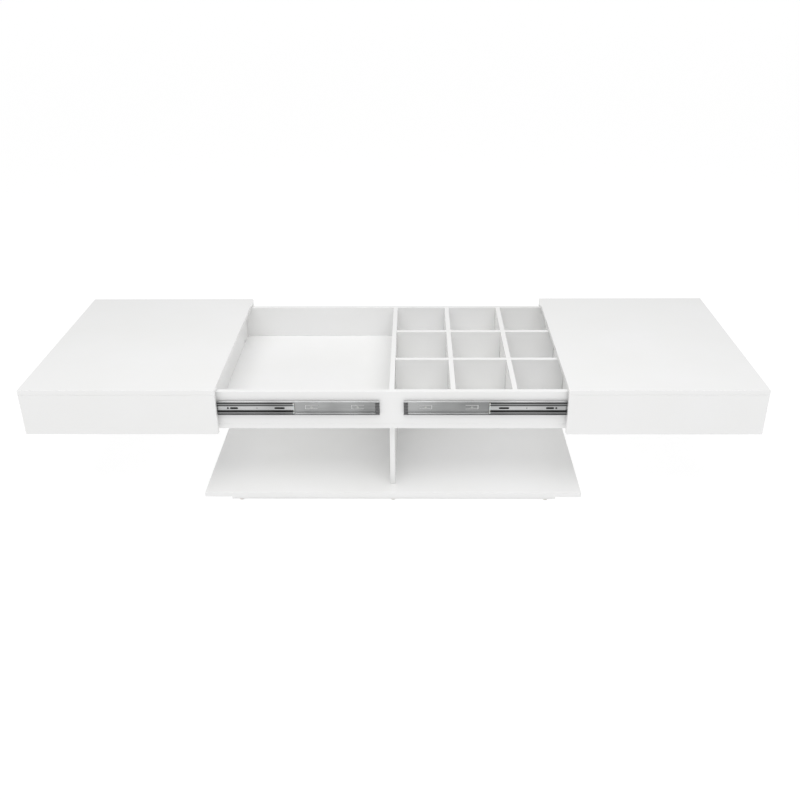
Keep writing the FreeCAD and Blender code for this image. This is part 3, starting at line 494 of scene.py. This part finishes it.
def span(node):
    """A slide part's reach in millimetres, measured in its slide's own way: along the table from
    the middle, out from the wall that its fixed rail is screwed to, and half its height."""
    way, zero = slide_frame(node)
    along, out, up = ((np.array(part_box(node)) - zero) * way / MM).T
    return np.sort(along), np.sort(out), np.ptp(up) / 2


def laid_in(node, surface):
    """Turn a surface worked out in millimetres into its quarter of the table. Two of the four
    turns mirror it, so its faces are turned outwards last."""
    way, zero = slide_frame(node)
    points, faces = surface
    placed = points * MM * way + zero
    return placed, outward(placed, faces)


for half, side in QUARTERS:
    along, out, up = span(f"{half}_{side}_middle_rail")
    print(half, side, "middle rail from", along.round(1), "mm")

# %% Rails
FIXED_BEND, MIDDLE_BEND, INNER_BEND = 0.9, 0.6, 0.5  # radii at the middle of the sheet
BEAD_HEIGHT, BEAD_TOP, BEAD_FOOT = 0.7, 1.1, 2.1     # a bead and half its widths
FIXED_SLOPE, FIXED_LIP = 3.9, 1.9                    # foot of the flange and end of the lip
MIDDLE_LIP = 5.0
PLATEAU_RISE, PLATEAU_HALF, PLATEAU_FOOT = 2.0, 6.2, 8.2
RACE_DEPTH, RACE_FOOT, RACE_SIDE = 0.4, 0.9, 1.5     # the groove in the inner rail
TONGUE_STARTS, TONGUE_LENGTH = (46, 182), 38         # pressings, from the rail's inner end
TONGUE_HALF, TONGUE_SLIT = 7, 2.5
SCREW_HOLE = 1.9
HOLE_MARGIN = 1.0


def fixed_rail(node, ball_out, screws):
    """A C with beaded flanges, two lanced tongues and three screw holes."""
    along, out, up = span(node)
    web, edge = out + np.array([RAIL_SHEET, -RAIL_SHEET]) / 2
    top = up - RAIL_SHEET / 2
    shoulder = top - BEAD_HEIGHT
    upper = [(web, top - FIXED_SLOPE), (ball_out - BEAD_FOOT, shoulder),
             (ball_out - BEAD_TOP, top), (ball_out + BEAD_TOP, top),
             (ball_out + BEAD_FOOT, shoulder), (edge, shoulder), (edge, up - FIXED_LIP)]
    line = bent_line(both_halves(upper), FIXED_BEND)
    centre = distances(line)[-1] / 2
    windows = [hole_window(x, centre, 0, SCREW_HOLE, HOLE_MARGIN) for x in screws]
    slits = []
    for start in along[0] + np.array(TONGUE_STARTS):
        end = start + TONGUE_LENGTH
        slits += [(end - TONGUE_SLIT, end, centre - TONGUE_HALF, centre + TONGUE_HALF),
                  (start, end, centre - TONGUE_HALF, centre - TONGUE_HALF + TONGUE_SLIT),
                  (start, end, centre + TONGUE_HALF - TONGUE_SLIT, centre + TONGUE_HALF)]
    flat = flat_strip(along, distances(line), windows, slits)
    return laid_in(node, bent_strip(flat, line, RAIL_SHEET))


SLOT_HALF_HEIGHT = 3
FLANGE_FACING = 0.5                                  # the cosine of 60 degrees from upright
SLOTS = ((27, 31), (165, 24))                        # start and length, from the inner end
HOLES = ((109, 1.5), (195, 3))                       # centre and radius


def middle_section(node):
    """The section line, from the raised middle of the web to the lip over the balls."""
    along, out, up = span(node)
    web, edge = out + np.array([RAIL_SHEET, -RAIL_SHEET]) / 2
    top = up - RAIL_SHEET / 2
    upper = [(web + PLATEAU_RISE, PLATEAU_HALF), (web, PLATEAU_FOOT), (web, top), (edge, top),
             (edge, up - MIDDLE_LIP)]
    return bent_line(both_halves(upper), MIDDLE_BEND)


def middle_rail(node):
    """A C with deep lips and a raised middle, with two slots and two round holes in it."""
    along = span(node)[0]
    line = middle_section(node)
    centre = distances(line)[-1] / 2
    windows = [hole_window(along[0] + start + length / 2, centre, length / 2 - SLOT_HALF_HEIGHT,
                           SLOT_HALF_HEIGHT, HOLE_MARGIN) for start, length in SLOTS]
    windows += [hole_window(along[0] + x, centre, 0, radius, HOLE_MARGIN) for x, radius in HOLES]
    flat = flat_strip(along, distances(line), windows)
    return laid_in(node, bent_strip(flat, line, RAIL_SHEET))


def paint_light_and_shade(rail, node, outer_painted_tone, flange_painted_tone):
    """Paint light and shade on the faces of a rail by how far they are above or below its centre
    line. The outer ones, past the middle of the web, take one tone, and the outsides of the
    flanges, which face up or down at the full height of the rail, take another. Each tone is the
    rail's zinc, or a lighter or darker copy: a painted highlight or painted shade."""
    low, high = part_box(node)
    polygons = rail.data.polygons
    middles, normals = (np.empty(3 * len(polygons)) for _ in range(2))
    polygons.foreach_get("center", middles)
    polygons.foreach_get("normal", normals)
    above = middles[2::3] - (low.z + high.z) / 2
    outer = np.abs(above) > PLATEAU_HALF * MM
    flange = (np.abs(above) > (high.z - low.z) / 2 - 2 * RAIL_SHEET * MM) & (
        normals[2::3] * np.sign(above) > FLANGE_FACING)
    polygons.foreach_set("material_index", (outer + flange.astype(int)).astype(np.int32))
    rail.data.materials.append(outer_painted_tone)
    rail.data.materials.append(flange_painted_tone)


BUFFER_LENGTH, BUFFER_SHEET, BUFFER_PROUD = 3.0, 2.0, 0.5


def end_buffer(node):
    """A moulded lining round the inner end of a middle rail: the rail's own section, thicker."""
    start = span(node)[0][0] - BUFFER_PROUD
    line = middle_section(node)
    flat = flat_strip(np.array([start, start + BUFFER_LENGTH]), distances(line))
    return laid_in(node, bent_strip(flat, line, BUFFER_SHEET))


def inner_rail(node, ball_out, screws):
    """A channel open to the case, with a groove in each flange and three screw holes."""
    along, out, up = span(node)
    edge, web = out[0], out[1] - RAIL_SHEET / 2
    top = up - RAIL_SHEET / 2
    upper = [(web, top), (ball_out + RACE_SIDE, top), (ball_out + RACE_FOOT, top - RACE_DEPTH),
             (ball_out - RACE_FOOT, top - RACE_DEPTH), (ball_out - RACE_SIDE, top), (edge, top)]
    line = bent_line(both_halves(upper), INNER_BEND)
    centre = distances(line)[-1] / 2
    windows = [hole_window(x, centre, 0, SCREW_HOLE, HOLE_MARGIN) for x in screws]
    flat = flat_strip(along, distances(line), windows)
    return laid_in(node, bent_strip(flat, line, RAIL_SHEET))

# %% [markdown]
# ## Ball cages
#
# The balls of a row would drift and jam if nothing kept them apart. A cage does that: a thin
# strip bent to a channel, with a hole for every ball in both of its flanges. The retainers of
# these slides are black plastic, and that black shows through the slots of the middle rail. The
# web of an inner cage is carried over the raised part of the middle rail, as on a bridge. The
# balls are ground steel. Each is a small grid of rings, closed at its poles.

# %% Cages and balls
CAGE_SHEET, CAGE_BEND = 0.5, 0.3
CAGE_HOLE_PLAY, CAGE_HOLE_MARGIN = 0.12, 0.06
BRIDGES = {"outer": [], "inner": [(2.1, PLATEAU_FOOT), (0, PLATEAU_FOOT + 1.5)]}
BALL_RINGS, BALL_SIDES = 7, 12
LONGEST_BALL = 10 * MM


def ball_cage(node, places, radius, bridge):
    """The strip: a channel whose flanges have a hole round each ball. The bridge is the corners
    that carry its web over the middle rail's raised part, in (out from the web, up)."""
    along, out, up = span(node)
    line_height = np.abs(places[:, 2]).max()
    web = out[0] + CAGE_SHEET / 2
    upper = [(web + rise, up) for rise, up in bridge] + [(web, line_height), (out[1], line_height)]
    line = bent_line(both_halves(upper), CAGE_BEND, steps=3)
    flange = out[1] - places[0, 1]
    rows = flange, distances(line)[-1] - flange
    windows = [hole_window(x, row, 0, radius + CAGE_HOLE_PLAY, CAGE_HOLE_MARGIN)
               for x in np.unique(places[:, 0].round(2)) for row in rows]
    flat = flat_strip(along, distances(line), windows, parts=4)
    return laid_in(node, bent_strip(flat, line, CAGE_SHEET))


def ball_rows(node, places, radius):
    """Balls at their places. A ring at latitude v has the radius cos v and the height sin v, and
    the poles are closed by single points."""
    latitude = np.linspace(-tau / 4, tau / 4, BALL_RINGS + 2)[1:-1, None]
    turn = np.linspace(0, tau, BALL_SIDES, endpoint=False)
    rings = np.stack(np.broadcast_arrays(np.cos(latitude) * np.cos(turn),
                                         np.cos(latitude) * np.sin(turn),
                                         np.sin(latitude)), axis=-1).reshape(-1, 3)
    ball = np.concatenate([rings, [[0, 0, -1], [0, 0, 1]]]) * radius
    sides = grid_faces(BALL_RINGS, BALL_SIDES, closed=True).tolist()
    start = np.arange(BALL_SIDES)
    ahead, top = (start + 1) % BALL_SIDES, (BALL_RINGS - 1) * BALL_SIDES
    pole = np.full(BALL_SIDES, len(rings))
    below = np.stack([ahead, start, pole], axis=1).tolist()
    above = np.stack([top + start, top + ahead, pole + 1], axis=1).tolist()
    return laid_in(node, joined([(ball + place, sides + below + above) for place in places]))


def ball_places(node):
    """Centres of a cage's balls in the slide's own frame, and their radius, in millimetres. The
    balls are all the solids of the node but the longest, which is the strip."""
    way, zero = slide_frame(node)
    low, high = (np.array(corner) for corner in zip(*solid_boxes(node)))
    balls = (high - low)[:, 0] < LONGEST_BALL
    middle = (low + high)[balls] / 2 - zero
    return middle * way / MM, ((high - low)[balls] / 2 / MM).max()

# %% Make the slides
def screw_places(node, half, side):
    """How far from the middle of the table the screws on one slide are, in millimetres."""
    middles = np.array([(low + high) / 2 for low, high in solid_boxes(node)])
    mine = (middles[:, 0] * SIDES[half] > 0) & (middles[:, 1] * SIDES[side] > 0)
    return np.sort(np.abs(middles[mine, 0])) / MM


for half, side in QUARTERS:
    quarter = f"{half}_{side}"
    outer, inner = (f"{quarter}_{which}_ball_cage" for which in ("outer", "inner"))
    outer_balls, inner_balls = ball_places(outer), ball_places(inner)
    fixed, middle, sliding = (f"{quarter}_{which}_rail" for which in ("fixed", "middle", "inner"))
    surface = fixed_rail(fixed, outer_balls[0][0, 1], screw_places("fixed_rail_screws", half, side))
    rail = make_piece(f"{quarter}_slide_fixed_rail", surface, rolled_zinc, "carcass",
                      "slide_steel", fixed)
    # painted highlight: the outsides of the fixed rail's flanges take the lighter copy of the zinc
    paint_light_and_shade(rail, fixed, rolled_zinc, zinc_painted_highlight)
    # the middle rail is painted: its raised middle in the lighter zinc, a painted highlight, the
    # rest in the darker zinc and the outsides of its flanges near-black, painted shade
    rail = make_piece(f"{quarter}_slide_middle_rail", middle_rail(middle), zinc_painted_highlight, middle,
                      "slide_steel", middle)
    paint_light_and_shade(rail, middle, zinc_painted_shade, black_painted_shade)
    surface = inner_rail(sliding, inner_balls[0][0, 1],
                         screw_places(f"{half}_inner_rail_screws", half, side))
    make_piece(f"{quarter}_slide_inner_rail", surface, rolled_zinc, f"{half}_top",
               "slide_steel", sliding)
    make_piece(f"{quarter}_slide_end_buffer", end_buffer(middle), polyethylene, middle, "glides")
    for cage, (places, radius) in ((outer, outer_balls), (inner, inner_balls)):
        bridge = BRIDGES[cage.split("_")[2]]
        make_piece(f"{cage}_strip", ball_cage(cage, places, radius, bridge), cage_plastic, cage,
                   "ball_cages", cage)
        make_piece(f"{cage}_balls", ball_rows(cage, places, radius), ball_chrome, cage,
                   "ball_cages", cage)
    print(quarter, "slide:", len(outer_balls[0]) + len(inner_balls[0]), "balls")

# %% [markdown]
# ## Turned and headed fittings
#
# Screws, dowels, locks and glides are round, or nearly. Each is a stack of rings round an axis,
# and a ring has a radius for every angle. One number gives a circle. A hexagon has the radius
# apothem / cos(angle from the middle of its side). The recess of a cross-head screw is the larger
# of two crossed bars. A thread makes the radius rise and fall with the height and the angle
# together, so that its crest climbs one pitch in each turn. Flutes on a dowel are a ripple round
# it. The first and last rings are closed by flat caps.

# %% Rings round an axis
RING_TURN = np.linspace(0, tau, 48, endpoint=False)


def hexagon(apothem):
    return apothem / np.cos((RING_TURN + tau / 12) % (tau / 6) - tau / 12)


def cross(half_length, half_width):
    """Outline of two crossed bars, seen from their middle. A ray leaves a bar through its side or
    its end, whichever is nearer, and leaves the cross where it leaves the farther bar."""
    sine, cosine = (np.maximum(np.abs(f(RING_TURN)), 1e-6) for f in (np.sin, np.cos))
    lying = np.minimum(half_width / sine, half_length / cosine)
    upright = np.minimum(half_width / cosine, half_length / sine)
    return np.maximum(lying, upright)


def thread(root, crest, pitch, low, high, steps_per_turn=5):
    """Rings of a screw thread from one height to another. The share of the way from root to crest
    is a triangle wave of height / pitch - angle / full turn."""
    heights = np.linspace(low, high, int(abs(high - low) / pitch * steps_per_turn) + 1)
    phase = (heights[:, None] / pitch - RING_TURN / tau) % 1
    radius = root + (crest - root) * np.abs(2 * phase - 1)
    return list(zip(radius, heights))


def stacked(rings):
    """A closed surface through (radius, height) rings."""
    radius = np.array([np.broadcast_to(r, RING_TURN.shape) for r, height in rings])
    height = np.array([np.broadcast_to(height, RING_TURN.shape) for r, height in rings])
    points = np.stack([radius * np.cos(RING_TURN), radius * np.sin(RING_TURN), height], axis=-1)
    sides = grid_faces(len(rings), len(RING_TURN), closed=True).tolist()
    first = np.arange(len(RING_TURN))
    caps = [first[::-1].tolist(), (first + (len(rings) - 1) * len(first)).tolist()]
    points = points.reshape(-1, 3)
    return points, outward(points, sides + caps)


def aimed(surface, axis, place):
    """Stand a surface made in millimetres on a point, with its height along an axis."""
    axis = np.array(axis, dtype=float)
    side = np.roll(axis, 1)
    turn = np.stack([side, np.cross(axis, side), axis])
    points, faces = surface
    return points * MM @ turn + place, faces


def end_on(box, axis):
    """The middle of the face of a box that an axis points away from."""
    low, high = box
    return (low + high) / 2 - np.array(axis) * (high - low) / 2

# %% [markdown]
# ### Rail screws and joint screws
#
# A rail screw has a low round head, so that the middle rail can pass over it, with a cross
# recess and a sharp thread. A joint screw for board is longer: a countersunk head that lies flush,
# a hexagon socket, a plain neck and a deep thread that cuts its way into the fibreboard.

# %% Rail screws
RAIL_HEAD, RAIL_HEAD_HEIGHT, RAIL_SHANK = 3.6, 0.9, 1.8


def rail_screw():
    """Head first, with its top at height 0 and its point along the axis."""
    recess = cross(2.1, 0.45)
    rings = [(0.2 * recess, 0.8), (0.7 * recess, 0.8), (recess, 0.12),
             (np.maximum(recess, 2.3), 0.06)]
    rings += [(2.9, 0.16), (3.35, 0.36), (RAIL_HEAD, 0.62), (RAIL_HEAD, RAIL_HEAD_HEIGHT)]
    rings += thread(1.25, RAIL_SHANK, 1.3, RAIL_HEAD_HEIGHT, 10.6)
    rings += [(0.8, 11.8), (0.05, 12.9)]
    return stacked(rings)


def fitting_set(name, fitting, head_way, material, body, slot, node):
    """One piece with a fitting in every place of a node's set. head_way tells from the middle of
    a fitting which way its axis runs, from the head to the point."""
    boxes = solid_boxes(node)
    surfaces = []
    for box in boxes:
        axis = head_way((box[0] + box[1]) / 2)
        surfaces.append(aimed(fitting, axis, end_on(box, axis)))
    make_piece(name, joined(surfaces), material, body, slot, node)
    print(name, "has", len(boxes))


def to_the_middle(middle):
    """Screws that are driven from outside the case."""
    return (0, -np.sign(middle[1]), 0)


def to_the_outside(middle):
    """Screws that are driven from inside the apron."""
    return (0, np.sign(middle[1]), 0)


fitting_set("fixed_rail_screw_set", rail_screw(), to_the_middle, screw_zinc, "carcass",
            "rail_screws", "fixed_rail_screws")
for half in ("left", "right"):
    fitting_set(f"{half}_inner_rail_screw_set", rail_screw(), to_the_outside, screw_zinc,
                f"{half}_top", "rail_screws", f"{half}_inner_rail_screws")

# %% Joint screws
JOINT_HEAD, JOINT_SHANK, JOINT_LENGTH = 5.0, 2.5, 48
SOCKET_APOTHEM, SOCKET_DEPTH = 2.0, 3.0


def joint_screw():
    """Head first, with its face at height 0 and its point along the axis."""
    socket = hexagon(SOCKET_APOTHEM)
    rings = [(0.2 * socket, SOCKET_DEPTH), (socket, SOCKET_DEPTH - 0.4), (socket, 0.25),
             (1.08 * socket, 0.0), (JOINT_HEAD - 0.25, 0.0), (JOINT_HEAD, 0.15)]
    rings += [(JOINT_HEAD - 0.2, 0.5), (JOINT_SHANK, 4.0), (JOINT_SHANK, 14.0)]
    rings += thread(1.75, JOINT_SHANK, 3.0, 14.6, 44.0)
    rings += [(1.3, 45.5), (0.9, JOINT_LENGTH)]
    return stacked(rings)


for node, way in (("base_screws", 1), ("case_screws", 1), ("upright_screws", -1)):
    fitting_set(node.replace("screws", "joint_screw_set"), joint_screw(),
                lambda middle, way=way: (0, 0, way), screw_zinc, "carcass", "joint_screws", node)

# %% [markdown]
# ### Dowels
#
# A dowel is a beech rod with flutes along it, which let the glue and the air out, and with
# chamfered ends. A ring in the middle has the radius R - d (1 + cos 12a) / 2 at the angle a.

# %% Dowels
FLUTES, FLUTE_DEPTH, DOWEL_RADIUS, DOWEL_LENGTH, CHAMFER = 12, 0.3, 4.0, 24.0, 1.0
ripple = DOWEL_RADIUS - FLUTE_DEPTH * (1 + np.cos(FLUTES * RING_TURN)) / 2
dowel = stacked([(0.2, 0), (ripple - CHAMFER, 0), (ripple, CHAMFER),
                 (ripple, DOWEL_LENGTH / 2), (ripple, DOWEL_LENGTH - CHAMFER),
                 (ripple - CHAMFER, DOWEL_LENGTH), (0.2, DOWEL_LENGTH)])


def dowel_set(name, body, node):
    """A dowel along the longest side of each box, with its own place kept for its grain. Each
    dowel takes its grain from another part of the pattern."""
    boxes = solid_boxes(node)
    axes = np.eye(3)[[np.argmax(high - low) for low, high in boxes]]
    surface = joined([aimed(dowel, axis, end_on(box, axis)) for axis, box in zip(axes, boxes)])
    piece = make_piece(name, surface, beech, body, "dowels", node)
    shifts = np.arange(len(boxes))[:, None, None] * 7 * DOWEL_RADIUS
    own = (dowel[0][None] + shifts * (1, 1, 0)) * MM
    attribute = piece.data.attributes.new("own_place", "FLOAT_VECTOR", "POINT")
    attribute.data.foreach_set("vector", own.astype(np.float32).ravel())
    print(name, "has", len(boxes))


dowel_set("base_dowel_set", "carcass", "base_dowels")
for half in ("left", "right"):
    dowel_set(f"{half}_top_dowel_set", f"{half}_top", f"{half}_top_dowels")

# %% [markdown]
# ### Cam locks, glides and end stops
#
# A cam lock is a die-cast drum that draws a joint together when it is turned. Its face has a
# raised rim and a cross recess. A glide is a moulded disc nailed under the plinth, with a rounded
# foot and the nail sunk in its middle. An end stop is a rubber block with ribs that are squashed
# when the middle rail runs home. Its outline is a superellipse: |x / a| ^ 6 + |y / b| ^ 6 = 1, a
# rectangle with round corners.

# %% Cam locks
CAM_RADIUS, CAM_DEPTH = 6.0, 10.0
recess = cross(3.4, 0.75)
cam_lock = stacked([(0.2 * recess, 3.0), (0.8 * recess, 3.0), (recess, 0.7),
                    (np.maximum(recess, 3.7), 0.55), (4.6, 0.5), (5.0, 0.1), (5.3, 0.0),
                    (5.8, 0.0), (CAM_RADIUS, 0.2), (CAM_RADIUS, CAM_DEPTH - 0.3),
                    (CAM_RADIUS - 0.3, CAM_DEPTH), (0.5, CAM_DEPTH)])
fitting_set("cam_lock_set", cam_lock, lambda middle: (np.sign(middle[0]), 0, 0), cast_zinc,
            "carcass", "cam_locks", "cam_locks")

# %% Glides
glide = stacked([(0.4, 0.9), (2.0, 0.9), (2.6, 0.35), (3.0, 0.06), (3.4, 0.0), (7.2, 0.0),
                 (7.9, 0.15), (8.35, 0.55), (8.55, 1.1), (9.0, 2.9), (9.0, 3.0), (0.5, 3.0)])
fitting_set("glide_set", glide, lambda middle: (0, 0, 1), polyethylene, "carcass", "glides",
            "floor_glides")

# %% End stops
RIB_PITCH, RIB_DEPTH = 10.5, 2.4
SQUARENESS, STOP_RINGS = 6, 61


def end_stop(size):
    """A ribbed block that fills a box of this size in millimetres. Between two ribs the outline is
    drawn in by the rib's depth, along half a wave of a cosine."""
    length, depth, height = size[0] / 2, size[1] / 2, size[2]
    heights = np.linspace(0, height, STOP_RINGS)
    drawn_in = RIB_DEPTH * (1 - np.cos(tau * heights[:, None] / RIB_PITCH)) / 2
    reach = ((np.abs(np.cos(RING_TURN)) / (length - drawn_in)) ** SQUARENESS
             + (np.abs(np.sin(RING_TURN)) / (depth - drawn_in)) ** SQUARENESS)
    outline = reach ** (-1 / SQUARENESS)
    return stacked([(0.3, 0.0), *zip(outline, heights), (0.3, height)])


boxes = solid_boxes("slide_end_stops")
stop = end_stop((boxes[0][1] - boxes[0][0]) / MM)
stops = []
for low, high in boxes:
    points, faces = stop
    foot = np.array([(low[0] + high[0]) / 2, (low[1] + high[1]) / 2, low[2]])
    stops.append((points * MM + foot, faces))
make_piece("slide_end_stop_set", joined(stops), rubber, "carcass", "end_stops",
           "slide_end_stops")
print("end stops:", len(stops))

# %% [markdown]
# ## The camera
#
# The camera stands in front of the table, a little to the right of its middle, at about eye
# height, and looks down on it. A camera looks along its own -Z with its +Y up. Three turns aim
# it: a small roll about its own axis, then a lift from straight down to the angle at which it
# looks, then a small turn about the upright. Their matrices are multiplied in that order, from
# the right, and its place comes last.

# %% The camera
LENS = 41.16
CAMERA_PLACE = (0.0692, -2.7192, 1.5991)
LOOK_DOWN, TURNED, ROLLED = radians(27.309), radians(-1.069), radians(0.5)

camera = bpy.data.objects.new("camera", bpy.data.cameras.new("camera"))
camera.data.lens = LENS
camera.data.clip_start = 0.1
camera.matrix_world = (Matrix.Translation(CAMERA_PLACE) @ Matrix.Rotation(-TURNED, 4, "Z")
                       @ Matrix.Rotation(radians(90) - LOOK_DOWN, 4, "X")
                       @ Matrix.Rotation(-ROLLED, 4, "Z"))
bpy.context.scene.collection.objects.link(camera)
bpy.context.scene.camera = camera
print("the camera is", round(camera.location.z, 2), "m above the floor")

# %% [markdown]
# ## Studio
#
# White furniture is shot in a white room, on a light table: a sheet of opal acrylic that is lit
# from below, so that the floor stays white and throws light up at the upright faces. A softbox
# hangs above and a little in front, and tones the tops. The case shuts the lower shelf off from
# both, so two thin panels under the case lighten it. They don't show in the picture or in gloss.
# The floor isn't part of the table.

# %% Floor
FLOOR_SIZE, FLOOR_GLOW = 160.0, 0.85
floor_mesh = bpy.data.meshes.new("studio_floor")
edge = np.linspace(-FLOOR_SIZE / 2, FLOOR_SIZE / 2, 2)
floor_points = np.stack([*np.meshgrid(edge, edge), np.zeros((2, 2))], axis=-1).reshape(-1, 3)
floor_mesh.from_pydata(floor_points.tolist(), [], grid_faces(2, 2).tolist())
floor = bpy.data.objects.new("studio_floor", floor_mesh)
bpy.context.scene.collection.objects.link(floor)
floor_mesh.materials.append(new_material(
    "opal_acrylic_light_table", Roughness=0.8, Emission_Strength=FLOOR_GLOW,
    Emission_Color=linear("#FFFFFF"), Base_Color=linear("#7D7D7D"))[0])

# %% Room light and softbox
ROOM_LIGHT = 0.55
SOFTBOX_PLACE, SOFTBOX_TILT = (0.0, -0.9, 3.0), radians(15)
SOFTBOX_WIDTH, SOFTBOX_DEPTH, SOFTBOX_POWER = 4.2, 3.0, 60.0

world = bpy.data.worlds.new("white_room")
world.use_nodes = True
bpy.context.scene.world = world
room = world.node_tree.nodes["Background"]
room.inputs["Color"].default_value = linear("#FFFFFF")
room.inputs["Strength"].default_value = ROOM_LIGHT
bpy.context.scene.view_settings.view_transform = "Standard"

softbox = bpy.data.objects.new("softbox", bpy.data.lights.new("softbox", "AREA"))
softbox.data.shape = "RECTANGLE"
softbox.data.size, softbox.data.size_y = SOFTBOX_WIDTH, SOFTBOX_DEPTH
softbox.data.energy = SOFTBOX_POWER
softbox.matrix_world = Matrix.Translation(SOFTBOX_PLACE) @ Matrix.Rotation(SOFTBOX_TILT, 4, "X")
bpy.context.scene.collection.objects.link(softbox)

# %% Panels under the case
SHELF_LIGHT, PANEL_SHARE, PANEL_DROP = 0.26, 0.9, 8 * MM

case_low, case_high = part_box("case_bottom")
for way in (-1, 1):
    panel = bpy.data.objects.new("shelf_light", bpy.data.lights.new("shelf_light", "AREA"))
    panel.data.shape = "RECTANGLE"
    panel.data.size = PANEL_SHARE * case_high.x
    panel.data.size_y = PANEL_SHARE * (case_high.y - case_low.y)
    panel.data.energy = SHELF_LIGHT
    panel.location = (way * case_high.x / 2, 0, case_low.z - PANEL_DROP)
    panel.visible_camera = panel.visible_glossy = False
    bpy.context.scene.collection.objects.link(panel)
